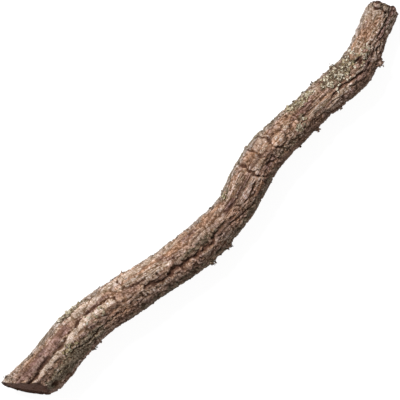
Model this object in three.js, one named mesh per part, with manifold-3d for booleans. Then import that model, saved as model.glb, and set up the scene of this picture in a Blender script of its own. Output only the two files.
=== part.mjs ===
// A fallen branch of a rough-barked tree, lying on the ground, with patches of
// lichen on its bark.
//
// Units are millimetres. +X runs along the branch from its thick end, which has
// a slanting face, to its thin end, which is broken off short. +Y is across it
// and +Z is up. The origin is on the ground, under the middle of its box.
import * as THREE from "three";
import { mergeVertices } from "three/addons/utils/BufferGeometryUtils.js";
import Module from "manifold-3d";

const wasm = await Module();
wasm.setup();

const { degToRad, lerp } = THREE.MathUtils;

// ---------------------------------------------------------------- dimensions

// How finely the bark is faceted: cross sections along it, points round each.
const RINGS = 92;
const SIDES = 32;

// The middle line, from the thick end to the thin end. "along" and "across" are
// its place in plan, "radius" is half the branch's width, and "under" is the
// height of the underside. The branch beds down where "under" is below zero.
const STATIONS = [
  { along: -317, across: 4, under: 1.2, radius: 24.4 },
  { along: -273, across: 4, under: 0.2, radius: 25 },
  { along: -243, across: 5.6, under: -0.7, radius: 25 },
  { along: -207, across: 9.6, under: 0.4, radius: 24.6 },
  { along: -171, across: 8.4, under: 2, radius: 23.2 },
  { along: -135, across: 1, under: 3, radius: 23 },
  { along: -97, across: -7.4, under: 2.2, radius: 21.5 },
  { along: -56, across: -14.4, under: 0.4, radius: 22.4 },
  { along: -19, across: -17.6, under: -0.8, radius: 22.3 },
  { along: 19, across: -15, under: 0.6, radius: 20.4 },
  { along: 51, across: -5, under: 2.6, radius: 21.1 },
  { along: 81, across: 2.8, under: 4, radius: 21 },
  { along: 121, across: 3.4, under: 5, radius: 20.2 },
  { along: 157, across: 3, under: 4.8, radius: 18.6 },
  { along: 193, across: 0.5, under: 3.6, radius: 19.7 },
  { along: 220, across: -0.9, under: 2, radius: 20 },
  { along: 245, across: 6.6, under: 0.2, radius: 18 },
  { along: 271, across: 17.4, under: -0.7, radius: 17.4 },
  { along: 311, across: 34.4, under: 0.6, radius: 16 },
];

// The slanting face at the thick end: where it crosses the middle line, how far
// it is turned in plan from square, and how far it leans back to face upwards.
const CUT_ALONG = -282;
const CUT_TURN = degToRad(35);
const CUT_LEAN = degToRad(10);

// The break at the thin end: where it crosses the middle line, how far the rim
// stands past that, every 30 degrees round from the +Y side over the top, and
// how deep the rotten middle goes in.
const BREAK_ALONG = 292;
const BREAK_RIM = [-5, -5, -5, -2, 3, 1, -2, 1, 4, 5, 5, 1];
const BREAK_HOLLOW = 6;

// Broad bark ridges: how many round the branch, how high above the mean, how
// far they wander round it, and over what length they swing there and back.
const RIDGES = 7;
const RIDGE_HEIGHT = 0.7;
const RIDGE_WANDER = degToRad(14);
const RIDGE_SWING = 210;

// Lumps (height above zero) and hollows (below zero) in the bark. "angle" is
// measured in degrees from the +Y side, so 90 is the top and 180 the -Y side.
const LUMPS = [
  { along: -282, angle: 8, height: 2.6, length: 6, spread: 20 },
  { along: -255, angle: 140, height: -2, length: 7, spread: 18 },
  { along: -198, angle: 172, height: 2, length: 6, spread: 18 },
  { along: -139, angle: 170, height: 1.2, length: 9, spread: 30 },
  { along: -37, angle: 170, height: 0.8, length: 7, spread: 22 },
  { along: -16, angle: 176, height: 1.4, length: 5, spread: 20 },
  { along: 27, angle: 20, height: -1, length: 6, spread: 25 },
  { along: 47, angle: 30, height: 1.2, length: 9, spread: 35 },
  { along: 89, angle: 118, height: -1.8, length: 8, spread: 18 },
  { along: 101, angle: 60, height: 1, length: 10, spread: 25 },
  { along: 211, angle: 150, height: 1, length: 12, spread: 40 },
  { along: 257, angle: 20, height: 1, length: 9, spread: 25 },
];

// Dead twig stubs that still stand out of the bark.
const STUBS = [
  { along: -124, angle: 14, radius: 1.9, length: 3, sides: 8 },
  { along: 145, angle: 171, radius: 2.6, length: 2.4, sides: 8 },
  { along: 203, angle: 8, radius: 2.1, length: 2.6, sides: 8 },
  { along: 239, angle: 168, radius: 3.6, length: 3.6, sides: 12 },
];
const STUB_ROOT = 5;
const STUB_TAPER = 0.7;
const STUB_RAKE = degToRad(18);

// Lichen patches: thin crusts that lie on the bark, with a hair's gap below.
const LICHENS = [
  { name: "lichen_low_side", along: -192, angle: 20, length: 27, width: 11 },
  { name: "lichen_low_ridge", along: -219, angle: 102, length: 16, width: 10 },
  { name: "lichen_long_ridge", along: -170, angle: 86, length: 32, width: 9 },
  { name: "lichen_crook", along: 27, angle: 38, length: 13, width: 9 },
  { name: "lichen_bend_top", along: 134, angle: 106, length: 15, width: 8 },
  { name: "lichen_bend_side", along: 141, angle: 34, length: 15, width: 11 },
  { name: "lichen_bend_yellow", along: 158, angle: 42, length: 15, width: 12 },
  { name: "lichen_bend_large", along: 205, angle: 55, length: 50, width: 21 },
  { name: "lichen_tip", along: 239, angle: 91, length: 13, width: 9 },
];
const LICHEN_GAP = 0.5;
const LICHEN_HEIGHT = 1.8;
const LICHEN_SPOKE_GAP = 4;
const LICHEN_CIRCLE_GAP = 2.2;
const LICHEN_LOBES = 5;
const LICHEN_LOBE_DEPTH = 0.12;

const BARK_COLOUR = 0x816c5d;
const LICHEN_COLOUR = 0x9a9a82;

// --------------------------------------------------------------- middle line

const UP = new THREE.Vector3(0, 0, 1);

const spine = new THREE.CatmullRomCurve3(
  STATIONS.map(
    (s) => new THREE.Vector3(s.along, s.across, s.under + s.radius),
  ),
);
spine.arcLengthDivisions = 1200;

// The value between low and high where a rising function passes zero.
function crossing(low, high, rising) {
  const HALVINGS = 30;
  for (let i = 0; i < HALVINGS; i++) {
    const middle = (low + high) / 2;
    if (rising(middle) < 0) low = middle;
    else high = middle;
  }
  return (low + high) / 2;
}

// How far down the spine, from 0 to 1, it reaches a place along the branch.
function shareAt(along) {
  return crossing(0, 1, (share) => spine.getPointAt(share).x - along);
}

// The spine's point there, with the directions along, across and up from it.
function frameAt(share) {
  const point = spine.getPointAt(share);
  const forward = spine.getTangentAt(share);
  const side = new THREE.Vector3().crossVectors(UP, forward).normalize();
  const up = new THREE.Vector3().crossVectors(forward, side);
  return { point, forward, side, up };
}

// ---------------------------------------------------------------------- bark

// Half the branch's width at a place along it, smooth between the stations.
function radiusAt(along) {
  let i = 1;
  while (i < STATIONS.length - 1 && STATIONS[i].along < along) i++;
  const before = STATIONS[i - 1];
  const after = STATIONS[i];
  const share = (along - before.along) / (after.along - before.along);
  return lerp(before.radius, after.radius, THREE.MathUtils.smoothstep(share, 0, 1));
}

// The turn between two directions round the branch, from -pi to pi.
function turnBetween(a, b) {
  return Math.atan2(Math.sin(a - b), Math.cos(a - b));
}

// How far the ridges and lumps lift the bark at a place on it.
function barkLift(along, angle) {
  const swing = Math.sin((2 * Math.PI * along) / RIDGE_SWING);
  const phase = RIDGES * (angle + RIDGE_WANDER * swing);
  let lift = RIDGE_HEIGHT * Math.cos(phase);
  for (const lump of LUMPS) {
    const far = (along - lump.along) / lump.length;
    const round = turnBetween(angle, degToRad(lump.angle)) / degToRad(lump.spread);
    lift += lump.height * Math.exp(-0.5 * (far * far + round * round));
  }
  return lift;
}

// A point over the bark: where along the spine, which way round, how far out
// (0 on the spine, 1 on the bark) and how far above the bark.
function barkPoint(share, angle, reach = 1, above = 0) {
  const frame = frameAt(share);
  const along = frame.point.x;
  const radius = reach * (radiusAt(along) + barkLift(along, angle)) + above;
  const point = frame.point
    .clone()
    .addScaledVector(frame.side, radius * Math.cos(angle))
    .addScaledVector(frame.up, radius * Math.sin(angle));
  point.z = Math.max(point.z, 0);
  return point;
}

// --------------------------------------------------------------------- trunk

const cutPoint = spine.getPointAt(shareAt(CUT_ALONG));
const cutNormal = new THREE.Vector3(
  -Math.cos(CUT_TURN) * Math.cos(CUT_LEAN),
  -Math.sin(CUT_TURN) * Math.cos(CUT_LEAN),
  Math.sin(CUT_LEAN),
);

// Where the line of bark at this angle leaves the slanting face.
function cutShare(angle, reach) {
  const inside = (share) =>
    -barkPoint(share, angle, reach).sub(cutPoint).dot(cutNormal);
  return crossing(0, shareAt(CUT_ALONG + 60), inside);
}

// How far the broken rim stands past the break at this angle.
function rimReach(angle) {
  const step = (2 * Math.PI) / BREAK_RIM.length;
  const turn = THREE.MathUtils.euclideanModulo(angle / step, BREAK_RIM.length);
  const i = Math.floor(turn);
  return lerp(BREAK_RIM[i], BREAK_RIM[(i + 1) % BREAK_RIM.length], turn - i);
}

// Where the line of bark at this angle ends in the break.
function breakShare(angle, reach) {
  const past = lerp(-BREAK_HOLLOW, rimReach(angle), reach);
  return shareAt(BREAK_ALONG) + past / spine.getLength();
}

// Leaves only the positions, with each shared corner held once.
function welded(geometry) {
  geometry.deleteAttribute("normal");
  geometry.deleteAttribute("uv");
  return mergeVertices(geometry);
}

// The trunk is a many-sided bar whose corners are moved out to the bark.
function trunkGeometry() {
  const bar = new THREE.CylinderGeometry(1, 1, 1, SIDES, RINGS);
  const geometry = welded(bar.rotateZ(-Math.PI / 2));
  const position = geometry.getAttribute("position");
  for (let i = 0; i < position.count; i++) {
    const down = position.getX(i) + 0.5;
    const angle = Math.atan2(position.getZ(i), position.getY(i));
    const reach = Math.hypot(position.getY(i), position.getZ(i));
    const share = lerp(cutShare(angle, reach), breakShare(angle, reach), down);
    const point = barkPoint(share, angle, reach);
    position.setXYZ(i, point.x, point.y, point.z);
  }
  return geometry;
}

// --------------------------------------------------------------------- stubs

// A tapered stub, rooted in the wood and raked towards the thin end.
function stubGeometry(stub) {
  const share = shareAt(stub.along);
  const angle = degToRad(stub.angle);
  const frame = frameAt(share);
  const outward = frame.side
    .clone()
    .multiplyScalar(Math.cos(angle))
    .addScaledVector(frame.up, Math.sin(angle));
  const lean = outward
    .clone()
    .multiplyScalar(Math.cos(STUB_RAKE))
    .addScaledVector(frame.forward, Math.sin(STUB_RAKE));
  const height = STUB_ROOT + stub.length;
  const middle = barkPoint(share, angle).addScaledVector(
    lean,
    (stub.length - STUB_ROOT) / 2,
  );
  const shape = new THREE.CylinderGeometry(
    stub.radius * STUB_TAPER,
    stub.radius,
    height,
    stub.sides,
  );
  const turn = new THREE.Quaternion().setFromUnitVectors(
    new THREE.Vector3(0, 1, 0),
    lean,
  );
  shape.applyQuaternion(turn).translate(middle.x, middle.y, middle.z);
  return welded(shape);
}

// ------------------------------------------------------------------- joining

function solidOf(geometry) {
  return new wasm.Manifold(
    new wasm.Mesh({
      numProp: 3,
      vertProperties: new Float32Array(geometry.getAttribute("position").array),
      triVerts: new Uint32Array(geometry.index.array),
    }),
  );
}

function geometryOf(solid) {
  const mesh = solid.getMesh();
  const geometry = new THREE.BufferGeometry();
  geometry.setAttribute(
    "position",
    new THREE.BufferAttribute(new Float32Array(mesh.vertProperties), 3),
  );
  geometry.setIndex(new THREE.BufferAttribute(new Uint32Array(mesh.triVerts), 1));
  geometry.computeVertexNormals();
  return geometry;
}

// The whole branch: the trunk with its stubs grown onto it.
function branchGeometry() {
  let solid = solidOf(trunkGeometry());
  for (const stub of STUBS) solid = solid.add(solidOf(stubGeometry(stub)));
  return geometryOf(solid);
}

// -------------------------------------------------------------------- lichen

// A lobed crust: a ball pressed flat onto the bark, thickest in its middle.
function lichenGeometry(patch) {
  const outline = (Math.PI * (patch.length + patch.width)) / 2;
  const spokes = Math.ceil(outline / LICHEN_SPOKE_GAP);
  const circles = 2 * Math.ceil(patch.width / 2 / LICHEN_CIRCLE_GAP);
  const ball = new THREE.SphereGeometry(1, spokes, circles);
  const geometry = welded(ball.rotateX(Math.PI / 2));
  const position = geometry.getAttribute("position");
  const middle = shareAt(patch.along);
  const round = radiusAt(patch.along);
  for (let i = 0; i < position.count; i++) {
    const x = position.getX(i);
    const y = position.getY(i);
    const lobe = Math.cos(LICHEN_LOBES * Math.atan2(y, x) + patch.along);
    const spread = 1 + LICHEN_LOBE_DEPTH * lobe;
    const share = middle + (x * spread * patch.length) / 2 / spine.getLength();
    const angle = degToRad(patch.angle) - (y * spread * patch.width) / 2 / round;
    const above = LICHEN_GAP + LICHEN_HEIGHT * Math.max(0, position.getZ(i));
    const point = barkPoint(share, angle, 1, above);
    position.setXYZ(i, point.x, point.y, point.z);
  }
  geometry.computeVertexNormals();
  return geometry;
}

// ------------------------------------------------------------------ the part

const bark = new THREE.MeshStandardMaterial({
  color: BARK_COLOUR,
  roughness: 0.9,
  metalness: 0,
});
const lichen = new THREE.MeshStandardMaterial({
  color: LICHEN_COLOUR,
  roughness: 0.95,
  metalness: 0,
});

const group = new THREE.Group();

const branch = new THREE.Mesh(branchGeometry(), bark);
branch.name = "branch";
group.add(branch);

for (const patch of LICHENS) {
  const crust = new THREE.Mesh(lichenGeometry(patch), lichen);
  crust.name = patch.name;
  group.add(crust);
}

// Put the origin under the middle of the box.
const middle = new THREE.Box3().setFromObject(group).getCenter(new THREE.Vector3());
group.position.set(-middle.x, -middle.y, 0);

export default group;
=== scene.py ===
"""The looks of a fallen branch: furrowed bark, torn wood at its two ends, and lichen.

The branch's solid and its lichen pads come from the packed frame. The bark is laid over
the solid as one fine skin. Its furrows, plates and fibres are carved in, and its ridges
stand a little proud of the solid. Lengths in this file are millimetres unless a setting
has a unit of its own. A place on the bark is given by how far along the branch it is,
which is the frame's X, and by its angle round the branch: 0 faces +Y, 90 is the top and
180 faces -Y.
"""

import math

import bpy
import numpy as np
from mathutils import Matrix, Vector
from mathutils.bvhtree import BVHTree


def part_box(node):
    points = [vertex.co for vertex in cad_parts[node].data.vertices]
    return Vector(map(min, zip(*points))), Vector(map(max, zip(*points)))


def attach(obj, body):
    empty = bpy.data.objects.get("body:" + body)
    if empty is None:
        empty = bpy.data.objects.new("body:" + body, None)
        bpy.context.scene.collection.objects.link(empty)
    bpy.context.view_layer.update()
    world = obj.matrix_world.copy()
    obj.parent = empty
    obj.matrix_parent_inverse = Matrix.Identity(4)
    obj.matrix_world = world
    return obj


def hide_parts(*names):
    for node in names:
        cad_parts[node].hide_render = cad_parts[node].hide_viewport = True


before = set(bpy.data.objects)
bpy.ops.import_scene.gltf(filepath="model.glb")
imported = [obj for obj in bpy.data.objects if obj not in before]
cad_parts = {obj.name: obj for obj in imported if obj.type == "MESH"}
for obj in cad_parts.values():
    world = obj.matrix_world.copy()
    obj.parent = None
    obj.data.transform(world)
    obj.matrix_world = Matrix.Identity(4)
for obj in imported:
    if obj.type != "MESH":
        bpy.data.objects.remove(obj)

bl_info = {
    "name": "Fallen Branch",
    "version": (1, 0, 0),
    "blender": (4, 5, 0),
    "location": "3D View > Sidebar > Branch",
    "description": "Builds a fallen branch with furrowed bark and lichen on its frame",
    "category": "Add Mesh",
}

MM = 0.001
BRANCH_NODE = "branch"
BARK_PIECE = "branch_wood_and_bark"
FULL_TURN = 2 * math.pi

# How many times brighter than its own colour the studio's light shows a surface.
STUDIO_LIGHT = 2.0

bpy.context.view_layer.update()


# ------------------------------------------------------------------ settings


def from_screen(red, green, blue):
    """A linear colour from the 0 to 255 values that a screen shows, by the sRGB curve."""
    shares = [value / 255 for value in (red, green, blue)]
    return [s / 12.92 if s < 0.04045 else ((s + 0.055) / 1.055) ** 2.4 for s in shares]


def in_the_light(red, green, blue):
    """The colour a surface needs to show these screen values in the studio's light."""
    return [share / STUDIO_LIGHT for share in from_screen(red, green, blue)]


def length_setting(name, description, default):
    """A length in millimetres."""
    return bpy.props.FloatProperty(name=name, description=description, default=default, min=0)


def colour_setting(name, description, screen):
    """A colour, given as a screen shows it."""
    return bpy.props.FloatVectorProperty(
        name=name,
        description=description,
        subtype="COLOR",
        size=3,
        min=0,
        max=1,
        default=in_the_light(*screen),
    )


class BranchBarkSettings(bpy.types.PropertyGroup):
    """Sizes and colours of the bark."""

    plate_length: length_setting("Plate length", "Bark plate along the branch, mm", 25.0)
    plate_width: length_setting("Plate width", "Bark plate round the branch, mm", 12.0)
    plate_depth: length_setting("Furrow depth", "Depth between the plates, mm", 1.7)
    block_length: length_setting("Block length", "Small block along the branch, mm", 6.8)
    block_width: length_setting("Block width", "Small block round the branch, mm", 6.0)
    block_depth: length_setting("Block depth", "Depth between the blocks, mm", 0.8)
    fibre_depth: length_setting("Fibre depth", "Relief of the lengthwise fibres, mm", 0.42)
    scale_step: length_setting("Scale step", "Height of one worn bark scale, mm", 0.2)
    body: colour_setting("Bark", "Weathered brown bark", (172, 131, 106))
    # Also laid on the raised edges as a painted highlight.
    pale: colour_setting("Pale ridge", "Worn, bleached ridges", (220, 193, 170))
    warm: colour_setting("Tan", "Freshly shed tan bark", (198, 151, 118))
    # Painted light: a lighter, greyer colour laid on the +Y side that faces the key light.
    bleached: colour_setting("Bleached side", "Grey bark towards +Y", (178, 163, 149))
    purple: colour_setting("Purple brown", "Stained bark in the hollows", (152, 114, 103))
    green: colour_setting("Algae", "Grey-green algae", (116, 104, 80))
    dots: colour_setting("Algae dots", "Pale dots among the algae", (204, 190, 160))
    # Painted shade: the dark colour laid on the side away from the key light and in the DARK
    # places.
    damp: colour_setting("Damp side", "Dark bark on the side that stays damp", (118, 84, 66))
    # Painted shade: the dark colour laid in the furrows, cracks and fissures.
    crack: colour_setting("Crack", "Bottom of the furrows", (96, 58, 42))


class BranchWoodSettings(bpy.types.PropertyGroup):
    """Colours of the bare wood at the two ends."""

    wood: colour_setting("Wood", "Stained old wood", (138, 88, 64))
    ring: colour_setting("Ring", "Dark growth rings", (94, 60, 44))
    rot: colour_setting("Rot", "Rotten dark wood", (88, 60, 46))


class BranchLichenSettings(bpy.types.PropertyGroup):
    """Sizes and colours of the lichen."""

    lobe_radius: length_setting("Lobe radius", "Mean radius of a lobe, mm", 1.4)
    lobe_height: length_setting("Lobe height", "How far a lobe's rim stands up, mm", 1.0)
    spill: length_setting("Spill", "Share by which loose lobes spill past a patch", 0.9)
    lobes_per_cm2: bpy.props.IntProperty(
        name="Lobes per square centimetre",
        description="How densely the lobes cover a patch",
        default=24,
        min=1,
    )
    grey: colour_setting("Grey-green", "Dry grey-green lobes", (244, 230, 207))
    yellow: colour_setting("Yellow-green", "Yellow-green lobes", (206, 192, 150))
    # Also painted as shade at the foot of each lobe.
    underside_and_shade: colour_setting("Underside", "Dark underside of the lobes", (66, 48, 36))


class BranchStageSettings(bpy.types.PropertyGroup):
    """The floor, the lights and the camera."""

    floor: colour_setting("Floor", "Plain pale floor", (150, 150, 150))
    floor_glow: bpy.props.FloatProperty(
        name="Floor glow", description="Light from the pale floor itself", default=0.92
    )
    floor_size: bpy.props.FloatProperty(
        name="Floor size", description="Side of the floor", default=30.0, unit="LENGTH"
    )
    key: bpy.props.FloatProperty(
        name="Key light", description="Strength of the soft key light", default=4.9
    )
    key_height: bpy.props.FloatProperty(
        name="Key height",
        description="How high the key light stands above the floor",
        default=math.radians(47),
        subtype="ANGLE",
    )
    key_spread: bpy.props.FloatProperty(
        name="Key spread",
        description="How wide the key light looks from the branch",
        default=math.radians(16),
        subtype="ANGLE",
    )
    sky: bpy.props.FloatProperty(
        name="Sky", description="Strength of the light from all round", default=0.45
    )
    view_width: bpy.props.FloatProperty(
        name="View width",
        description="Width that the camera takes in at the branch",
        default=0.44,
        unit="LENGTH",
    )
    camera_height: bpy.props.FloatProperty(
        name="Camera height", description="Camera above the floor", default=6.0, unit="LENGTH"
    )


SETTINGS = {
    "branch_bark": BranchBarkSettings,
    "branch_wood": BranchWoodSettings,
    "branch_lichen": BranchLichenSettings,
    "branch_stage": BranchStageSettings,
}


# -------------------------------------------------- what grew where on the bark
#
# Rows of places are (along, angle) pairs.

# Furrows between ridges: width and depth, then the line they follow.
FURROWS = [
    (2.9, 2.6, [(-279, 77), (-268, 82), (-256, 79), (-245, 75), (-238, 80), (-230, 82)]),
    (2.6, 2.5, [(-230, 82), (-218, 80), (-205, 75), (-198, 75), (-190, 69), (-180, 66)]),
    (2.0, 1.9, [(-180, 66), (-165, 65), (-150, 65), (-144, 76)]),
    (2.2, 2.2, [(-281, 48), (-270, 50), (-262, 47)]),
    (2.2, 0.9, [(-262, 36), (-250, 39), (-240, 44), (-228, 37)]),
    (2.0, 1.6, [(-215, 112), (-205, 124), (-195, 130), (-181, 130), (-177, 123)]),
    (2.0, 1.6, [(-177, 123), (-160, 125), (-152, 118), (-146, 122)]),
    (2.4, 2.0, [(-133, 66), (-126, 74), (-118, 80), (-108, 79)]),
    (4.4, 3.0, [(-112, 96), (-104, 103), (-96, 109), (-87, 111), (-80, 106), (-71, 97)]),
    (3.8, 2.4, [(-71, 97), (-66, 102), (-55, 105), (-40, 107), (-24, 110), (-17, 98)]),
    (3.4, 1.6, [(-17, 98), (-8, 96), (4, 100), (14, 108)]),
    (1.2, 0.6, [(-112, 60), (-100, 62), (-88, 64)]),
    (1.2, 0.7, [(-88, 72), (-76, 73), (-66, 70), (-56, 76)]),
    (1.6, 1.0, [(-64, 46), (-57, 60), (-50, 64)]),
    (3.8, 1.5, [(4, 66), (12, 74), (20, 80), (30, 86), (42, 90)]),
    (2.0, 1.8, [(6, 114), (14, 124), (24, 135), (34, 141)]),
    (2.0, 1.4, [(143, 88), (158, 89), (170, 88), (181, 85)]),
    (2.4, 2.0, [(183, 102), (200, 101), (206, 107), (216, 113), (226, 122), (233, 125)]),
    (2.0, 2.0, [(237, 154), (243, 144), (249, 131), (262, 137)]),
    (1.6, 1.2, [(148, 132), (168, 135), (190, 128)]),
    (2.0, 1.6, [(262, 108), (272, 111), (282, 107)]),
]

# Cracks across the ridges: width and depth, then the line they follow.
CRACKS = [
    (2.6, 3.0, [(-132, 26), (-133, 45), (-131, 62)]),
    (1.4, 1.5, [(-118, 104), (-119, 118), (-117, 134)]),
    (1.4, 1.5, [(-100, 110), (-101, 121), (-99, 134)]),
    (1.6, 1.8, [(-114, 98), (-115, 112), (-113, 126)]),
    (1.8, 2.2, [(-68, 72), (-69, 90), (-67, 120)]),
    (1.6, 1.8, [(-45, 92), (-46, 110), (-44, 126)]),
    (2.0, 1.9, [(-83, 102), (-85, 116), (-84, 128)]),
    (1.7, 1.6, [(-246, 46), (-244, 60), (-244, 76)]),
    (1.5, 1.2, [(-203, 76), (-202, 92)]),
    (2.6, 2.6, [(62, 12), (61, 34), (63, 52), (61, 70), (62, 88), (61, 104), (63, 128)]),
    (2.0, 2.0, [(78, 26), (79, 46), (81, 60), (80, 82)]),
    (2.3, 2.2, [(94, 14), (95, 40), (99, 58), (97, 75), (98, 100), (102, 112)]),
    (2.8, 5.0, [(287, 44), (288, 62), (287, 92)]),
    (1.5, 1.4, [(102, 112), (110, 110), (115, 101), (116, 84), (113, 70)]),
    (1.3, 1.0, [(98, 68), (106, 63), (113, 70)]),
    (1.3, 1.2, [(24, 96), (25, 112), (24, 132)]),
    (2.8, 2.4, [(225, 75), (231, 84), (227, 96)]),
    (1.8, 1.8, [(135, 54), (137, 75), (137, 90)]),
    (1.4, 1.2, [(128, 24), (129, 48)]),
    (1.4, 1.2, [(250, 40), (256, 30), (262, 22)]),
]

# Holes and rotten pockets: along, angle, radius, depth.
HOLES = [
    (-258, 140, 5.2, 5.0),
    (-131, 63, 2.8, 3.0),
    (-145, 79, 2.3, 2.6),
    (-107, 75, 1.4, 1.6),
    (-94, 86, 1.8, 2.2),
    (-104, 98, 3.2, 3.0),
    (-96, 105, 2.6, 2.6),
    (-88, 111, 2.4, 2.4),
    (-62, 99, 2.3, 2.2),
    (-52, 105, 2.4, 2.2),
    (-42, 101, 2.0, 2.0),
    (-30, 106, 2.5, 2.2),
    (-72, 94, 1.9, 2.4),
    (-82, 103, 1.7, 2.0),
    (-18, 94, 1.9, 2.2),
    (-9, 92, 1.6, 2.0),
    (18, 30, 2.0, 1.6),
    (88, 106, 1.8, 2.2),
    (80, 119, 4.2, 1.8),
    (67, 98, 1.3, 1.6),
    (63, 92, 1.8, 2.0),
    (178, 116, 1.7, 1.6),
    (201, 104, 1.5, 1.6),
    (138, 76, 2.1, 2.0),
    (-211, 46, 1.6, 1.4),
    (-256, 112, 1.5, 1.2),
]

# Dead twig stubs: along, angle, radius, height.
STUBS = [
    (-124, 12, 1.9, 2.4),
    (145, 171, 2.6, 2.2),
    (203, 8, 2.1, 2.4),
    (239, 168, 3.4, 3.4),
]

# How far the bark's rim is broken back at the slanting end: angle, width, distance.
RIM_BREAKS = [
    (72, 11, 3.0),
    (96, 15, 6.5),
    (118, 12, 5.0),
]

# The lip that stands out below the slanting end: angle, width, distance.
LIP = (285, 60, 1.4)

# The corner that is worn round at the slanting end: angle, width, radius.
WORN_CORNER = (168, 36, 10.0)

# Broad dips that narrow the branch, or swellings if below zero: along, angle, half
# length, half width, depth.
DIPS = [
    (262, 172, 12, 32, 1.6),
    (-75, 170, 50, 30, -0.9),
    (60, 172, 44, 30, -1.1),
    (145, 172, 30, 30, -0.6),
    (-8, 158, 16, 22, 2.4),
    (-258, 140, 8, 10, 0.8),
]

# Teeth and notches of the broken rim: angle, width in degrees, reach along the branch.
RIM_TEETH = [
    (72, 16, 5.0),
    (112, 16, 2.2),
    (146, 12, -3.0),
    (168, 8, -2.5),
    (38, 22, 4.5),
]

# Where each tint shows: along, angle, half length, half width in degrees, strength.
# PALE is worn, WARM is freshly shed, PURPLE is stained and GREEN has algae. DARK is
# darker, deeper bark, partly painted shade in the holes, the furrows and under the lichen.
PALE = [
    (-262, 16, 34, 20, 0.25),
    (-246, 87, 30, 7, 0.75),
    (-244, 115, 3, 4, 0.8),
    (-213, 42, 5, 5, 0.6),
    (-204, 115, 3, 3, 0.7),
    (-212, 88, 16, 7, 0.8),
    (-182, 81, 40, 9, 1.0),
    (-176, 46, 26, 13, 0.8),
    (-124, 34, 26, 16, 0.8),
    (-124, 64, 16, 7, 0.8),
    (-120, 116, 13, 8, 0.55),
    (-98, 63, 16, 8, 0.7),
    (-90, 76, 24, 8, 0.8),
    (-84, 30, 30, 15, 0.6),
    (-96, 119, 12, 8, 0.55),
    (-30, 66, 20, 9, 0.4),
    (-10, 142, 14, 10, 0.5),
    (44, 98, 16, 12, 0.45),
    (48, 60, 14, 8, 0.5),
    (56, 116, 7, 9, 0.5),
    (73, 93, 8, 9, 0.5),
    (88, 72, 7, 7, 0.6),
    (105, 86, 8, 17, 0.45),
    (122, 72, 6, 11, 0.6),
    (104, 30, 12, 12, 0.5),
    (171, 46, 9, 14, 0.7),
    (164, 104, 17, 9, 0.9),
    (194, 117, 16, 10, 0.8),
    (219, 106, 14, 5, 0.85),
    (242, 60, 13, 20, 0.6),
    (250, 104, 12, 8, 0.6),
    (250, 122, 3, 4, 1.0),
    (254, 136, 14, 12, 0.5),
    (261, 88, 14, 10, 0.7),
    (280, 29, 14, 15, 0.8),
    (280, 140, 15, 14, 0.9),
    (282, 62, 12, 16, 0.7),
    (280, 96, 14, 14, 0.6),
]

WARM = [
    (-112, 58, 26, 11, 0.8),
    (-10, 60, 15, 9, 0.9),
    (166, 97, 18, 11, 0.6),
    (250, 108, 17, 9, 0.5),
    (-94, 79, 13, 9, 0.5),
    (-122, 26, 30, 20, 0.6),
    (-60, 30, 36, 12, 0.6),
    (-4, 38, 24, 16, 0.7),
    (-40, 58, 40, 12, 0.5),
    (-96, 48, 16, 7, 0.7),
    (-66, 47, 14, 7, 0.8),
    (88, 70, 8, 8, 1.0),
    (72, 56, 9, 16, 0.6),
    (75, 93, 8, 9, 0.7),
    (46, 58, 16, 20, 0.35),
    (244, 54, 20, 25, 0.85),
    (270, 78, 18, 24, 0.65),
    (174, 48, 10, 11, 0.6),
    (126, 52, 14, 12, 0.5),
    (-250, 34, 18, 8, 0.5),
    (110, 64, 9, 9, 0.5),
    (106, 86, 7, 15, 0.9),
    (-170, 40, 20, 16, 0.35),
]

PURPLE = [
    (-240, 59, 46, 15, 0.9),
    (-42, 46, 14, 12, 0.8),
    (-14, 50, 9, 8, 0.5),
    (-172, 57, 26, 8, 0.5),
    (20, 74, 11, 13, 0.95),
    (82, 119, 9, 12, 1.0),
    (151, 72, 14, 10, 0.8),
    (-122, 118, 12, 10, 0.55),
    (-192, 106, 16, 6, 0.6),
    (230, 116, 22, 13, 0.7),
    (272, 126, 22, 22, 0.85),
    (170, 112, 22, 11, 0.7),
    (200, 132, 22, 12, 0.5),
    (-94, 119, 11, 9, 0.6),
    (-10, 118, 18, 9, 0.4),
    (50, 78, 16, 7, 0.6),
    (-66, 48, 14, 6, 0.5),
    (291, 114, 7, 18, 1.0),
]

DARK = [
    (-270, 78, 14, 8, 0.6),
    (-272, 26, 15, 13, 0.6),
    (-258, 140, 7, 12, 1.0),
    (-258, 106, 30, 8, 0.8),
    (-240, 76, 20, 6, 0.9),
    (-256, 46, 27, 11, 0.75),
    (-184, 93, 14, 5, 0.6),
    (-154, 96, 16, 9, 0.7),
    (-126, 80, 14, 13, 0.7),
    (-110, 142, 60, 9, 0.5),
    (-108, 46, 22, 6, 0.4),
    (-97, 105, 15, 8, 1.0),
    (-66, 102, 18, 9, 0.7),
    (-66, 52, 15, 16, 0.7),
    (-38, 62, 18, 8, 0.9),
    (-38, 96, 20, 12, 0.9),
    (-9, 101, 17, 11, 1.0),
    (-11, 44, 17, 11, 0.9),
    (18, 38, 14, 18, 0.6),
    (24, 80, 18, 17, 0.6),
    (48, 86, 17, 9, 0.8),
    (78, 72, 16, 15, 0.7),
    (75, 138, 24, 10, 0.4),
    (88, 104, 14, 10, 0.6),
    (104, 66, 12, 9, 0.5),
    (110, 103, 13, 8, 0.5),
    (135, 60, 13, 8, 0.5),
    (193, 86, 12, 14, 0.7),
    (194, 106, 16, 9, 1.0),
    (204, 48, 32, 34, 1.0),
    (221, 40, 17, 20, 1.0),
    (228, 82, 6, 9, 0.7),
    (221, 140, 17, 11, 0.7),
    (158, 80, 14, 5, 0.6),
    (156, 44, 10, 18, 0.4),
    (284, 70, 6, 14, 0.5),
]

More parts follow.
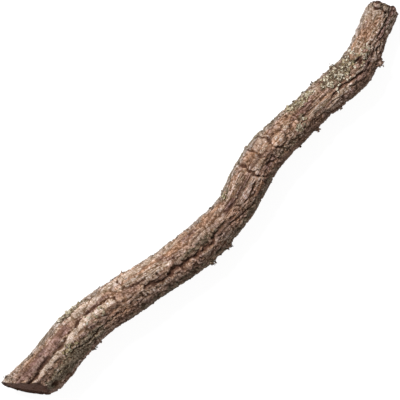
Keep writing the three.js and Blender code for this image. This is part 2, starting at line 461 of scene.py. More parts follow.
GREEN = [
    (-222, 130, 56, 24, 0.85),
    (-192, 20, 18, 14, 0.8),
    (-36, 90, 36, 11, 0.55),
    (141, 40, 11, 22, 0.9),
    (-219, 102, 9, 7, 0.7),
    (205, 55, 30, 32, 0.7),
    (140, 85, 5, 11, 0.8),
    (274, 108, 10, 6, 0.8),
    (293, 74, 5, 20, 0.9),
    (28, 36, 10, 12, 0.6),
    (110, 126, 20, 14, 0.5),
    (-60, 160, 90, 22, 0.55),
    (30, 158, 60, 22, 0.55),
    (110, 4, 150, 14, 0.8),
    (-60, 2, 20, 12, 0.6),
    (-230, 4, 30, 14, 0.5),
]

TINTS = {"pale": PALE, "warm": WARM, "purple": PURPLE, "green": GREEN, "dark": DARK}

# Where the painted shade on the side away from the key light is weaker: as the tints.
SHADE_EASED = [
    (-195, 145, 66, 30, 0.6),
    (-10, 145, 24, 20, 0.6),
    (165, 130, 34, 24, 0.6),
    (264, 138, 38, 34, 0.9),
]

# Where the bark is worn smooth and fine-grained: as the tints.
SMOOTH = [
    (-240, 58, 46, 14, 0.9),
    (-170, 50, 30, 14, 0.7),
    (-100, 34, 50, 22, 0.7),
    (-20, 40, 30, 22, 0.5),
    (-246, 20, 40, 20, 0.5),
    (44, 96, 18, 16, 0.8),
    (105, 86, 8, 16, 0.9),
    (168, 106, 28, 18, 0.9),
    (-176, 60, 30, 8, 0.6),
    (-205, 87, 62, 11, 1.0),
    (-215, 130, 58, 24, 0.6),
    (-170, 118, 24, 12, 0.5),
    (230, 112, 12, 8, 0.6),
    (280, 118, 14, 14, 0.6),
]

# Where the small blocks stand clear of each other: as the tints.
BLOCKY = [
    (260, 74, 32, 30, 0.5),
    (76, 56, 14, 36, 0.7),
    (118, 56, 18, 40, 0.7),
    (-95, 118, 18, 10, 0.8),
    (-45, 116, 14, 8, 0.8),
    (165, 50, 18, 20, 0.6),
    (-20, 68, 16, 14, 0.5),
]

# Where long fibres show: as the tints.
FIBROUS = [
    (36, 84, 30, 48, 1.0),
    (176, 100, 30, 18, 0.7),
    (160, 70, 18, 10, 0.8),
    (105, 86, 9, 17, 1.0),
    (14, 104, 16, 16, 0.9),
    (-178, 84, 40, 12, 0.3),
    (-90, 62, 30, 14, 0.6),
    (30, 122, 12, 14, 0.7),
    (88, 74, 8, 9, 0.8),
    (-250, 18, 40, 18, 0.5),
]

# Clumps of crumbled bark and lichen at the edges: along, angle, spread, chips, algae.
CLUMPS = [
    (-198, 172, 4.0, 22, 0.9),
    (-287, 14, 2.5, 9, 0.2),
    (-38, 168, 4.4, 22, 0.1),
    (-18, 166, 3.2, 14, 0.1),
    (-14, 176, 3.4, 14, 0.2),
    (-124, 14, 2.2, 8, 0.1),
    (-152, 10, 1.8, 6, 0.4),
    (146, 168, 3.0, 12, 0.2),
    (180, 166, 2.4, 8, 0.3),
    (118, 170, 2.2, 7, 0.2),
    (204, 14, 2.4, 9, 0.5),
    (162, 10, 2.2, 8, 0.8),
    (174, 8, 2.0, 6, 0.6),
    (238, 164, 4.0, 16, 0.1),
    (62, 12, 2.0, 6, 0.3),
    (2, 12, 2.0, 6, 0.4),
    (292, 66, 3.4, 14, 0.5),
    (289, 34, 2.6, 9, 0.3),
]

# How many loose chips lie all over the bark, and their least and greatest size.
LOOSE_CHIPS = 420
CHIP_SIZES = (0.8, 2.3)

# The stretch along the branch on which loose chips lie.
CHIP_REACH = (-278, 286)

# The seeds of the chips' and the lichen's random numbers. Each pad adds its own number.
CHIP_SEED = 12
LICHEN_SEED = 100

# The lichen pads: how densely the lobes grow, and the share of yellow in them.
LICHEN_PADS = {
    "lichen_low_side": (0.9, 0.2),
    "lichen_low_ridge": (0.6, 0.8),
    "lichen_long_ridge": (0.35, 0.1),
    "lichen_crook": (0.6, 0.8),
    "lichen_bend_top": (1.3, 0.2),
    "lichen_bend_side": (0.9, 0.3),
    "lichen_bend_yellow": (1.9, 0.5),
    "lichen_bend_large": (0.7, 0.2),
    "lichen_tip": (1.7, 0.0),
}

# The share of a pad's places that get a lobe: those where the lobes clump together.
CLUMPED = 0.65


# ---------------------------------------------------------- numbers and noise


def smoothstep(low, high, value):
    """0 below low, 1 above high, and a smooth rise between them."""
    share = np.clip((value - low) / (high - low), 0, 1)
    return share * share * (3 - 2 * share)


def turn_between(a, b):
    """The turn from b to a in radians, from -pi to pi."""
    return (a - b + math.pi) % FULL_TURN - math.pi


def degrees_from(angle, turn):
    """The turn from turn, in degrees, to angle, in radians: from -180 to 180 degrees."""
    return np.degrees(turn_between(angle, math.radians(turn)))


def bell(angle, turn, width):
    """1 at a turn and falling off to both sides of it, with turn and width in degrees."""
    away = degrees_from(angle, turn) / width
    return np.exp(-away * away)


def blurred(table, sigma, axis, wraps):
    """table smoothed along one axis by a bell curve of sigma steps."""
    reach = max(1, int(3 * sigma))
    steps = np.arange(-reach, reach + 1)
    bell = np.exp(-0.5 * (steps / sigma) ** 2)
    bell /= bell.sum()
    moved = np.moveaxis(table, axis, 0)
    pad = [(reach, reach)] + [(0, 0)] * (moved.ndim - 1)
    padded = np.pad(moved, pad, mode="wrap" if wraps else "edge")
    count = moved.shape[0]
    total = sum(w * padded[i : i + count] for i, w in enumerate(bell))
    return np.moveaxis(total, 0, axis)


class Noise:
    """Smooth random relief in space, the same every time for one seed."""

    def __init__(self, seed):
        random = np.random.default_rng(seed)
        self.order = random.permutation(256)
        slopes = random.normal(size=(256, 3))
        self.slopes = slopes / np.linalg.norm(slopes, axis=1)[:, None]

    def plain(self, points):
        """One layer, about -0.7 to 0.7, with lumps one unit across."""
        corner = np.floor(points).astype(int)
        inside = points - corner
        ease = inside * inside * inside * (inside * (inside * 6 - 15) + 10)
        total = 0
        for step in np.ndindex(2, 2, 2):
            place = corner + step
            pick = self.order[place[..., 0] & 255]
            pick = self.order[(pick + place[..., 1]) & 255]
            pick = self.order[(pick + place[..., 2]) & 255]
            rise = np.sum(self.slopes[pick] * (inside - step), axis=-1)
            share = np.prod(np.where(step, ease, 1 - ease), axis=-1)
            total = total + rise * share
        return total

    def __call__(self, points, size, layers=1):
        """Layers of noise whose first has lumps of the given size."""
        total = 0
        strength = 1.0
        size = np.asarray(size, float)
        for _ in range(layers):
            total = total + strength * self.plain(points / size)
            size = size / 2
            strength /= 2
        return total


def cells(along, round_share, length, columns, seed, jitter=0.8):
    """Splits the bark into staggered cells, each about one unit across.

    Returns how far each place is from its cell's border in cell sizes, a random number
    from 0 to 1 for its cell, and its place in the cell along and round the branch.
    """
    u = along / length
    v = (round_share % 1) * columns
    row, column = np.floor(u).astype(int), np.floor(v).astype(int)
    near, second = np.full(u.shape, 9.0), np.full(u.shape, 9.0)
    name = np.zeros(u.shape)
    offset = np.zeros(u.shape + (2,))
    other = np.zeros(u.shape + (2,))
    for dr in (-2, -1, 0, 1, 2):
        for dc in (-1, 0, 1):
            r, c = row + dr, column + dc
            wrapped = c % columns
            random = hashed(r, wrapped, seed)
            stagger = hashed(0, wrapped, seed + 7)
            cu = r + stagger + 0.5 + jitter * (random - 0.5)
            cv = c + 0.5 + jitter * (hashed(r, wrapped, seed + 3) - 0.5)
            du, dv = u - cu, v - cv
            distance = du * du + dv * dv
            nearer = distance < near
            between = (distance < second) & ~nearer
            here = np.stack([du, dv], -1)
            other = np.where(nearer[..., None], offset, other)
            other = np.where(between[..., None], here, other)
            second = np.where(nearer, near, np.where(between, distance, second))
            near = np.where(nearer, distance, near)
            offset = np.where(nearer[..., None], here, offset)
            name = np.where(nearer, hashed(r, wrapped, seed + 11), name)
    apart = np.linalg.norm(offset - other, axis=-1)
    border = (second - near) / (2 * np.maximum(apart, 0.05))
    return border, name, offset


def hashed(a, b, seed):
    """A random number from 0 to 1 for each pair of whole numbers."""
    mixed = np.sin(a * 127.1 + b * 311.7 + seed * 74.7) * 43758.5453
    return mixed - np.floor(mixed)


# --------------------------------------------------------- survey of the solid


class Survey:
    """The middle line of the branch's solid and its radius all round."""

    # The middle line: how far apart it is measured, how far from the two ends it stops,
    # how far it runs on past them, and how much it is smoothed, in its own steps.
    STATION_GAP = 6.0
    THICK_MARGIN = 58.0
    THIN_MARGIN = 24.0
    OVERRUN = 90.0
    STATION_BLUR = 1.8
    LINE_BLUR = 9.0

    # The radius: the rays in a ring, the gap between rings, how far the first ring is from
    # the line's end, how squarely a ray must leave the bark, and the smoothing each way.
    RAYS = 96
    RING_GAP = 2.5
    RING_MARGIN = 20.0
    SQUARE = 0.75
    RING_BLUR = 2.2
    RAY_BLUR = 1.6

    # The end faces are looked for from this far inside the line's end, by a ray that runs
    # along at this share of the radius.
    LOOK_FROM = 12.0
    LOOK_AT = 0.93

    def __init__(self, node):
        mesh = node.data
        corners = np.empty(len(mesh.vertices) * 3)
        mesh.vertices.foreach_get("co", corners)
        self.corners = corners.reshape(-1, 3) / MM
        faces = [list(p.vertices) for p in mesh.polygons]
        self.tree = BVHTree.FromPolygons([Vector(c) for c in self.corners], faces)
        self._find_middle()
        self._find_radius()

    def _find_middle(self):
        """Traces the middle line, straight on past both ends."""
        x = self.corners[:, 0]
        low = x.min() + self.THICK_MARGIN
        high = x.max() - self.THIN_MARGIN
        stations = np.arange(low, high, self.STATION_GAP)
        middles = []
        for station in stations:
            ring = self.corners[abs(x - station) < self.STATION_GAP]
            halfway = (ring.min(axis=0) + ring.max(axis=0)) / 2
            middles.append([station, halfway[1], halfway[2]])
        line = blurred(np.array(middles), self.STATION_BLUR, 0, False)
        line[:, 0] = stations
        first = line[0] + (line[0] - line[4]) / (line[4, 0] - line[0, 0]) * self.OVERRUN
        last = line[-1] + (line[-1] - line[-5]) / (line[-1, 0] - line[-5, 0]) * self.OVERRUN
        line = np.vstack([first, line, last])
        fine_x = np.arange(first[0], last[0], 1.0)
        line = np.stack([np.interp(fine_x, line[:, 0], line[:, k]) for k in range(3)], -1)
        line = blurred(line, self.LINE_BLUR, 0, False)
        gaps = np.linalg.norm(np.diff(line, axis=0), axis=1)
        self.length_at = np.concatenate([[0], np.cumsum(gaps)])
        self.line = line
        forward = np.gradient(line, axis=0)
        self.forward = forward / np.linalg.norm(forward, axis=1)[:, None]

    def frame_at(self, length):
        """The middle point and the directions forward, to the side and up."""
        point = self._along(self.line, length)
        forward = self._along(self.forward, length)
        forward = forward / np.linalg.norm(forward, axis=-1, keepdims=True)
        side = np.stack([-forward[..., 1], forward[..., 0], forward[..., 0] * 0], -1)
        side = side / np.linalg.norm(side, axis=-1, keepdims=True)
        return point, forward, side, np.cross(forward, side)

    def _along(self, table, length):
        columns = [np.interp(length, self.length_at, table[:, k]) for k in range(3)]
        return np.stack(columns, -1)

    def _find_radius(self):
        """Measures the solid's radius with rays, and smooths its facets away."""
        last = self.length_at[-1] - self.RING_MARGIN
        self.rings = np.arange(self.RING_MARGIN, last, self.RING_GAP)
        angles = np.arange(self.RAYS) * FULL_TURN / self.RAYS
        radius = np.full((len(self.rings), self.RAYS), np.nan)
        point, _, side, up = self.frame_at(self.rings)
        for i in range(len(self.rings)):
            for j, angle in enumerate(angles):
                ray = side[i] * math.cos(angle) + up[i] * math.sin(angle)
                hit, normal, _, far = self.tree.ray_cast(Vector(point[i]), Vector(ray))
                if hit is not None and normal.dot(Vector(ray)) > self.SQUARE:
                    radius[i, j] = far
        for j in range(self.RAYS):
            known = np.flatnonzero(~np.isnan(radius[:, j]))
            radius[:, j] = np.interp(np.arange(len(self.rings)), known, radius[known, j])
        radius = blurred(radius, self.RING_BLUR, 0, False)
        self.radius = blurred(radius, self.RAY_BLUR, 1, True)

    def radius_at(self, length, angle):
        """The solid's radius at places on the bark."""
        row = np.clip((length - self.rings[0]) / self.RING_GAP, 0, len(self.rings) - 1.001)
        column = (angle % FULL_TURN) / FULL_TURN * self.RAYS
        i, j = row.astype(int), column.astype(int) % self.RAYS
        a, b = row - i, column - np.floor(column)
        k = (j + 1) % self.RAYS
        near = self.radius[i, j] * (1 - b) + self.radius[i, k] * b
        far = self.radius[i + 1, j] * (1 - b) + self.radius[i + 1, k] * b
        return near * (1 - a) + far * a

    def end_at(self, angle, thick):
        """The length along the middle line at which the bark ends at this angle."""
        start = self.LOOK_FROM if thick else self.length_at[-1] - self.LOOK_FROM
        point, forward, side, up = self.frame_at(start)
        away = side * math.cos(angle) + up * math.sin(angle)
        radius = self.radius_at(np.array(start), np.array(angle))
        inward = forward if thick else -forward
        origin = point + away * radius * self.LOOK_AT
        far = self.tree.ray_cast(Vector(origin), Vector(inward))[3]
        if far is None:
            raise RuntimeError("The survey found no end face on the branch")
        return start + far if thick else start - far


# ------------------------------------------------------------------ bark skin

# The skin's grid: rows of points along the branch, columns round it, and circles of
# points from the rim to the middle of each end.
ROWS = 570
COLUMNS = 160
CAP_CIRCLES = 16

# The radius at which angles round the branch are taken as distances over the bark.
MEAN_RADIUS = 21.0

# How much of the bark stands proud of the solid, in hundredths, and by how much at most.
PROUD_PERCENT = 52
MOST_PROUD = 1.3

# The grains of crumbling bark: their length, and how many there are round the branch.
GRAIN_LENGTH = 3.4
GRAIN_COLUMNS = 44

NOISE_SEED = 4
noise = Noise(NOISE_SEED)


def tinted(rows, along, angle, wobble):
    """How strongly a list of soft-edged ovals covers each place, 0 to 1."""
    cover = np.zeros(along.shape)
    for middle, turn, length, width, strength in rows:
        far = (along - middle) / length
        round_it = degrees_from(angle, turn) / width
        out = np.sqrt(far * far + round_it * round_it) + 0.45 * wobble
        cover = np.maximum(cover, strength * (1 - smoothstep(0.75, 1.25, out)))
    return cover


def distance_to_line(along, angle, line):
    """The distance over the bark from each place to a line of (along, angle) pairs."""
    nearest = np.full(along.shape, 1e9)
    for (a0, t0), (a1, t1) in zip(line, line[1:]):
        x = along - a0
        y = turn_between(angle, math.radians(t0)) * MEAN_RADIUS
        run = a1 - a0
        rise = math.radians(t1 - t0) * MEAN_RADIUS
        share = np.clip((x * run + y * rise) / (run * run + rise * rise), 0, 1)
        nearest = np.minimum(nearest, np.hypot(x - share * run, y - share * rise))
    return nearest


class Skin:
    """The bark as a fine grid: a row of points across, a column of points along."""

    def __init__(self, survey):
        self.survey = survey
        turns = np.arange(COLUMNS) * FULL_TURN / COLUMNS
        faces = np.array([survey.end_at(t, True) for t in turns])
        ends = np.array([survey.end_at(t, False) for t in turns])
        self.face_length = blurred(faces, 1.2, 0, True)
        self.starts = self._thick_rim(turns)
        ends = blurred(ends, 1.0, 0, True)
        for turn, width, reach in RIM_TEETH:
            ends = ends + reach * bell(turns, turn, width)
        share = np.linspace(0, 1, ROWS)[:, None]
        self.angle = np.broadcast_to(turns, (ROWS, COLUMNS))
        self.length = self.starts * (1 - share) + ends * share
        self.along = np.interp(self.length, survey.length_at, survey.line[:, 0])
        self.radius = survey.radius_at(self.length, self.angle)
        round_it = (MEAN_RADIUS * np.cos(self.angle), MEAN_RADIUS * np.sin(self.angle))
        self.straight = np.stack([self.length, *round_it], -1)
        self._carve()
        self.points = self.point_at(self.length, self.angle, self.radius - self.depth)

    def _thick_rim(self, turns):
        """Where the bark starts at the slanting end, with its broken places and its lip."""
        starts = self.face_length
        for turn, width, distance in RIM_BREAKS:
            broken = self.face_length + distance * bell(turns, turn, width)
            starts = np.maximum(starts, broken)
        turn, width, distance = LIP
        return blurred(starts - distance * bell(turns, turn, width), 1.5, 0, True)

    def point_at(self, length, angle, radius):
        """Places in the frame, kept on or above the ground."""
        point, _, side, up = self.survey.frame_at(length)
        spread = radius[..., None] * (
            side * np.cos(angle)[..., None] + up * np.sin(angle)[..., None]
        )
        placed = point + spread
        placed[..., 2] = np.maximum(placed[..., 2], 0)
        return placed

    def _lumps(self, shift, size, layers=2):
        """Noise over the bark. Each shift gives a pattern of its own."""
        return noise(self.straight + shift, size, layers)

    def _pushed(self, along_by, round_by):
        """Places pushed about, so that what is carved there turns irregular.

        Each push is a distance in millimetres, and its noise's shift and size.
        """
        distance, shift, size = along_by
        along = self.along + distance * self._lumps(shift, size)
        distance, shift, size = round_by
        return along, self.angle + distance * self._lumps(shift, size) / MEAN_RADIUS

    def _carve(self):
        """Works out how deep the bark is carved and which tints it shows."""
        self.wobble = self._lumps(50, (9, 5, 5), 3)
        self.smooth = self._tinted(SMOOTH)
        self.fibrous = self._tinted(FIBROUS)
        self.blocky = self._tinted(BLOCKY)
        self.crumbly = smoothstep(-0.12, 0.3, self._lumps(845, (14, 8, 8)))
        self.upper = smoothstep(0.15, 0.45, np.sin(self.angle))
        tints = {name: self._tinted(rows) for name, rows in TINTS.items()}
        furrows = self._furrows()
        plates, plate = self._plates()
        blocks, block = self._blocks()
        checks = self._checks()
        self.depth = (
            furrows
            + plates
            + blocks
            + self._crumbs()
            + self._fibres()
            + checks
            + self._scales()
            + 1.6 * tints["purple"] * (0.7 + 0.6 * self.wobble)
            + 0.8 * tints["dark"]
            + self._worn_corner()
            + self._dips()
            + 1.3 * self._lumps(700, (15, 9, 9))
            + 0.6 * tints["green"] * np.abs(self._lumps(500, 2.6))
            - 0.35 * self._lumps(320, 2.4)
        )
        self.depth = self.depth - np.percentile(self.depth, PROUD_PERCENT)
        self.depth = np.maximum(self.depth, -MOST_PROUD)
        self._add_stubs()
        # Painted shade: the furrow colour is laid where the bark is carved deepest.
        furrow_shade_depth = 0.3 * furrows + 0.25 * plates + 0.12 * blocks + 0.3 * checks
        self.masks = {
            **tints,
            "crack": np.clip(furrow_shade_depth, 0, 1),
            "plate": np.clip(0.6 * plate + 0.4 * block, 0, 1),
            "proud": self._proud(),
            "smooth": self.smooth,
            "fibrous": self.fibrous,
            "crumbly": self.crumbly,
            "damp": self._painted_shade(),
            "bleached": self._painted_light(),
        }

    def _proud(self):
        """How far a place stands above the bark close round it and further round it."""
        # This sets the painted shade in the hollows and the painted highlight on raised places.
        near = blurred(blurred(self.depth, 1.5, 0, False), 1.9, 1, True)
        wide = blurred(blurred(self.depth, 4.5, 0, False), 6.0, 1, True)
        proud = 0.5 + 0.75 * (near - self.depth) + 0.22 * (wide - self.depth)
        return np.clip(proud, 0, 1)

    def _tinted(self, rows):
        return tinted(rows, self.along, self.angle, self.wobble)

    def _furrows(self):
        """The long furrows, the cracks across and the rotten holes."""
        along, angle = self._pushed((1.7, 30, (5, 4, 4)), (1.5, 60, (5, 3, 3)))
        swell = np.clip(1.05 + 2.4 * self._lumps(400, (9, 6, 6)), 0.5, 2.0)
        deep = np.zeros(along.shape)
        for width, depth, line in FURROWS + CRACKS:
            far = distance_to_line(along, angle, line)
            share = far / (0.75 * width * swell)
            rise = depth * np.minimum(swell + 0.2, 1.2)
            deep = np.maximum(deep, rise * (1 - smoothstep(0.1, 1.0, share)))
        for middle, turn, size, depth in HOLES:
            round_it = turn_between(angle, math.radians(turn)) * MEAN_RADIUS
            far = np.hypot(along - middle, round_it)
            deep = np.maximum(deep, depth * (1 - smoothstep(0.25, 1.0, far / size)))
        return deep

    def _plates(self):
        """Gaps between the large plates, which mostly close up on the upper side."""
        bark = bpy.context.scene.branch_bark
        along, turn = self._pushed((3.4, 90, (16, 8, 8)), (1.8, 140, (20, 6, 6)))
        columns = round(FULL_TURN * MEAN_RADIUS / bark.plate_width)
        border, plate, inside = cells(along, turn / FULL_TURN, bark.plate_length, columns, 5)
        broken = smoothstep(-0.45, 0.1, self._lumps(430, (13, 6, 6)))
        gap = (1 - smoothstep(0.0, 0.1, border)) * (1 - 0.9 * self.upper * (1 - broken))
        plain = (1 - 0.75 * self.smooth) * (1 - 0.55 * self.fibrous) * (1 - 0.4 * self.blocky)
        depth = bark.plate_depth * (1 - 0.35 * self.upper) * plain
        dome = 0.4 * np.sum(inside**2, axis=-1) * (1 - 0.7 * self.smooth)
        tilt = 0.6 * (plate - 0.5) * inside[..., 1]
        return gap * depth + dome + tilt, plate

    def _blocks(self):
        """Gaps between the small blocks that each plate has split into."""
        bark = bpy.context.scene.branch_bark
        along, turn = self._pushed((2.4, 190, (9, 5, 5)), (1.4, 210, (9, 4, 4)))
        columns = round(FULL_TURN * MEAN_RADIUS / bark.block_width)
        border, block, _ = cells(along, turn / FULL_TURN, bark.block_length, columns, 9)
        gap = 1 - smoothstep(0.02, 0.2, border)
        patchy = smoothstep(-0.3, 0.2, self._lumps(360, (24, 9, 9)))
        patchy = np.maximum(patchy, self.blocky)
        clear = (1 - 0.85 * self.smooth) * (1 - 0.6 * self.fibrous) * (1 + 0.5 * self.blocky)
        depth = bark.block_depth * clear
        step = 0.5 * (block - 0.5) * (1 - self.smooth)
        return gap * depth * (0.25 + 0.75 * patchy) + step, block

    def _crumbs(self):
        """Crumbling bark: small grains of uneven height, and pits where they fell out."""
        along, turn = self._pushed((1.6, 610, (5, 3, 3)), (1.6, 630, (5, 3, 3)))
        border, grain, _ = cells(along, turn / FULL_TURN, GRAIN_LENGTH, GRAIN_COLUMNS, 15)
        gap = 0.35 * (1 - smoothstep(0.0, 0.25, border))
        rough = (1 - 0.7 * self.smooth) * (1 - 0.8 * self.fibrous) * (1 - 0.6 * self.blocky)
        rough = rough * (0.3 + 0.7 * self.crumbly)
        side = smoothstep(80, 110, np.degrees(self.angle) + 20 * self.wobble)
        pits = smoothstep(0.12, 0.42, self._lumps(660, (7, 5, 5), 3)) * (0.35 + 0.65 * side)
        return rough * (gap + 0.45 * (grain - 0.5)) + 1.5 * pits * (1 - 0.6 * self.smooth)

    def _fibres(self):
        """Thin fissures and ribs that run lengthwise, with the wood's grain."""
        bark = bpy.context.scene.branch_bark
        fissure = 1 - smoothstep(0.0, 0.2, np.abs(self._lumps(240, (24, 2.7, 2.7), 1)))
        fine = 1 - smoothstep(0.0, 0.25, np.abs(self._lumps(280, (11, 1.9, 1.9), 1)))
        lengthwise = (fissure + 0.6 * fine) * (0.12 + 1.7 * self.fibrous)
        return bark.fibre_depth * lengthwise

    def _checks(self):
        """Fine checks that run round the branch between the lengthwise fissures."""
        line = 1 - smoothstep(0.0, 0.2, np.abs(self._lumps(760, (4.0, 8, 8))))
        patchy = smoothstep(-0.25, 0.15, self._lumps(790, (16, 9, 9), 1))
        return 0.28 * line * patchy * (1 - 0.8 * self.fibrous)

    def _scales(self):
        """Thin layers that have flaked away in steps."""
        bark = bpy.context.scene.branch_bark
        level = 3.2 * self._lumps(200, (11, 7, 7), 3)
        share = level - np.floor(level)
        terrace = np.floor(level) + smoothstep(0.6, 0.95, share)
        return -bark.scale_step * terrace * (1 - 0.7 * self.smooth)

    def _painted_shade(self):
        """How far a place is on the side away from the key light, below and towards -Y, which
        is painted with shade.
        """
        turn = np.degrees(self.angle) + 22 * self.wobble
        damp = smoothstep(112, 150, turn) * (1 - smoothstep(300, 345, turn))
        return damp * (1 - self._tinted(SHADE_EASED))

    def _worn_corner(self):
        """Rounds the far corner of the slanting end over, as wear does."""
        turn, width, radius = WORN_CORNER
        inside = np.clip(1 - (self.length - self.starts) / radius, 0, 1)
        return radius * (1 - np.sqrt(1 - 0.98 * inside**2)) * bell(self.angle, turn, width)

    def _dips(self):
        """The broad dips that narrow the branch, and its swellings."""
        total = np.zeros(self.along.shape)
        for along, turn, length, width, depth in DIPS:
            far = (self.along - along) / length
            away = degrees_from(self.angle, turn) / width
            total = total + depth * np.exp(-(far**2) - away**2)
        return total

    def _painted_light(self):
        """How far a place is on the +Y side that faces the key light, which is painted lighter
        and greyer: painted light.
        """
        turn = degrees_from(self.angle, 0) + 16 * self.wobble
        return 1 - smoothstep(24, 48, np.abs(turn))

    def _add_stubs(self):
        """Raises the dead twig stubs, with a rim of bark and a hollow top."""
        for middle, turn, size, height in STUBS:
            far = np.hypot(
                self.along - middle,
                turn_between(self.angle, math.radians(turn)) * MEAN_RADIUS,
            )
            rise = height * (1 - smoothstep(0.7, 1.25, far / size))
            hollow = 0.3 * height * (1 - smoothstep(0.2, 0.6, far / size))
            self.depth = np.where(rise > 0, np.minimum(self.depth, 0.4), self.depth)
            self.depth = self.depth - rise + hollow


# ----------------------------------------------------------------- end faces


def ends_to_centre(skin, thick):
    """Circles of points that close one end, from just inside its rim to its middle."""
    survey = skin.survey
    row = 0 if thick else -1
    rim_length = skin.length[row]
    rim_radius = (skin.radius - skin.depth)[row]
    turns = skin.angle[row]
    middle_length = rim_length.mean()
    share = (np.arange(1, CAP_CIRCLES + 1) / CAP_CIRCLES)[:, None] ** 0.9
    rim_y, rim_z = rim_radius * np.cos(turns), rim_radius * np.sin(turns)
    radius = rim_radius * (1 - share)
    y, z = radius * np.cos(turns), radius * np.sin(turns)
    if thick:
        length = plane_length(skin, y, z)
        set_back = np.maximum(rim_length - plane_length(skin, rim_y, rim_z), 0)
        length = length + set_back * (1 - share) ** 2.2
        inward = 1.0
        depth = torn_depth(y, z, rim_radius * np.ones_like(share), radius)
    else:
        length = rim_length * (1 - share) + middle_length * share
        inward = -1.0
        depth = rotten_depth(y, z, share)
    length = length + inward * depth
    points = skin.point_at(length, turns * np.ones_like(share), radius)
    straight = np.stack([length, y, z], -1)
    return points, straight, share * np.ones_like(radius)


def plane_length(skin, y, z):
    """Where the flat slanting face lies at cross-section places (y, z)."""
    turns = skin.angle[0]
    rim = (skin.radius - skin.depth)[0]
    known = np.stack([rim * np.cos(turns), rim * np.sin(turns), np.ones(COLUMNS)], -1)
    slope = np.linalg.lstsq(known, skin.face_length, rcond=None)[0]
    return slope[0] * y + slope[1] * z + slope[2]


# Where the splits in the slanting face run, as turns round its middle in radians.
SPLITS = (0.6, 2.4, 4.1)


def torn_depth(y, z, rim_radius, radius):
    """Relief of the slanting face: a bark edge, rings and splits in the wood."""
    p = np.stack([np.zeros_like(y), y, z], -1)
    bark_edge = 1 - smoothstep(2.0, 3.6, rim_radius - radius)
    rings = 0.18 * np.cos(radius * 2.4 + 2 * noise(p, 7))
    rough = 0.9 * noise(p + 20, 6, 3) + 0.9
    turn = np.arctan2(z, y)
    split = np.zeros_like(y)
    for at in SPLITS:
        across = np.abs(np.sin((turn - at) / 2 + 0.15 * noise(p + 40, 8))) * radius
        facing = np.cos(turn - at) > 0
        split = np.maximum(split, 1.6 * facing * (1 - smoothstep(0.0, 0.9, across)))
    return rough + rings + split + 0.8 * bark_edge * (0.5 + noise(p + 60, 3, 2))


# How deep the rotten middle of the broken end goes in.
HOLLOW_DEPTH = 11


def rotten_depth(y, z, share):
    """Relief of the broken end: a splintered rim round a rotten hollow."""
    p = np.stack([np.zeros_like(y), y, z], -1)
    hollow = HOLLOW_DEPTH * smoothstep(0.14, 0.62, share + 0.16 * noise(p + 80, 6))
    splinter = 2.6 * np.abs(noise(p + 100, 3.2, 2)) * (1 - smoothstep(0.3, 0.8, share))
    return hollow + splinter + 1.2 * noise(p + 120, 4, 2)


# ------------------------------------------------------------- building meshes


def grid_faces(rows, columns, first=0):
    """Four-cornered faces over a grid that closes round on itself."""
    row = np.arange(rows - 1)[:, None] * columns + first
    here = np.arange(columns)[None, :]
    after = (here + 1) % columns
    faces = np.stack([row + here, row + after, row + columns + after, row + columns + here], -1)
    return faces.reshape(-1, 4)


def new_mesh_object(name, points, faces, smooth=True):
    """An object from points in millimetres and faces of three or four corners."""
    mesh = bpy.data.meshes.new(name)
    mesh.from_pydata((np.asarray(points) * MM).tolist(), [], faces)
    mesh.polygons.foreach_set("use_smooth", [smooth] * len(mesh.polygons))
    mesh.update()
    made = bpy.data.objects.new(name, mesh)
    bpy.context.scene.collection.objects.link(made)
    return made


def add_values(mesh, name, values):
    """Stores one number for each point of a mesh."""
    attribute = mesh.attributes.new(name, "FLOAT", "POINT")
    attribute.data.foreach_set("value", np.asarray(values, np.float32).ravel())


def add_vectors(mesh, name, vectors):
    """Stores one vector for each point of a mesh."""
    attribute = mesh.attributes.new(name, "FLOAT_VECTOR", "POINT")
    attribute.data.foreach_set("vector", np.asarray(vectors, np.float32).ravel())


class Patchwork:
    """Points, faces and values gathered from several shapes into one mesh.

    Each shape is given with its points, its faces numbered from its own first point, the
    places for its materials' grain, its material's number, and its values by name.
    """

    def __init__(self, value_names):
        self.points, self.faces, self.straight, self.slots = [], [], [], []
        self.values = {name: [] for name in value_names}
        self.count = 0

    def add(self, points, faces, straight, slot, **values):
        points = np.asarray(points).reshape(-1, 3)
        self.faces.extend([int(i) + self.count for i in face] for face in faces)
        self.slots.extend([slot] * len(faces))
        self.points.append(points)
        self.straight.append(np.asarray(straight).reshape(-1, 3))
        for name, held in self.values.items():
            value = values.get(name, 0.0)
            held.append(np.broadcast_to(np.ravel(value), (len(points),)))
        self.count += len(points)

    def finish(self, name):
        made = new_mesh_object(name, np.concatenate(self.points), self.faces)
        add_vectors(made.data, "straight", np.concatenate(self.straight))
        for key, held in self.values.items():
            add_values(made.data, key, np.concatenate(held))
        made.data.polygons.foreach_set("material_index", self.slots)
        return made


def add_bark(work, skin):
    """The bark's own grid."""
    faces = grid_faces(ROWS, COLUMNS)
    work.add(skin.points, faces, skin.straight, 0, **skin.masks)


def add_end(work, skin, thick):
    """Closes one end with circles that run in from the rim to a middle point."""
    points, straight, share = ends_to_centre(skin, thick)
    rim = np.arange(COLUMNS) + (0 if thick else (ROWS - 1) * COLUMNS) - work.count
    ring = np.arange(COLUMNS)
    after = (ring + 1) % COLUMNS
    faces = []
    for circle in range(CAP_CIRCLES):
        inner = ring + circle * COLUMNS
        inner_after = after + circle * COLUMNS
        outer = rim if circle == 0 else inner - COLUMNS
        outer_after = rim[after] if circle == 0 else inner_after - COLUMNS
        corners = [outer, outer_after, inner_after, inner]
        if circle == CAP_CIRCLES - 1:
            corners = [outer, outer_after, np.full_like(inner, circle * COLUMNS)]
        if thick:
            corners = corners[::-1]
        faces.extend(np.stack(corners, -1).tolist())
    kept = (CAP_CIRCLES - 1) * COLUMNS + 1
    points, straight = points.reshape(-1, 3)[:kept], straight.reshape(-1, 3)[:kept]
    work.add(points, faces, straight, 1 if thick else 2, inner=share.reshape(-1)[:kept])


# The corners in a chip's ragged outline, and the lift in degrees below which a chip lies flat
# enough to get only a little of the painted furrow shade.
CHIP_CORNERS = 7
FLAT_LIFT = 30


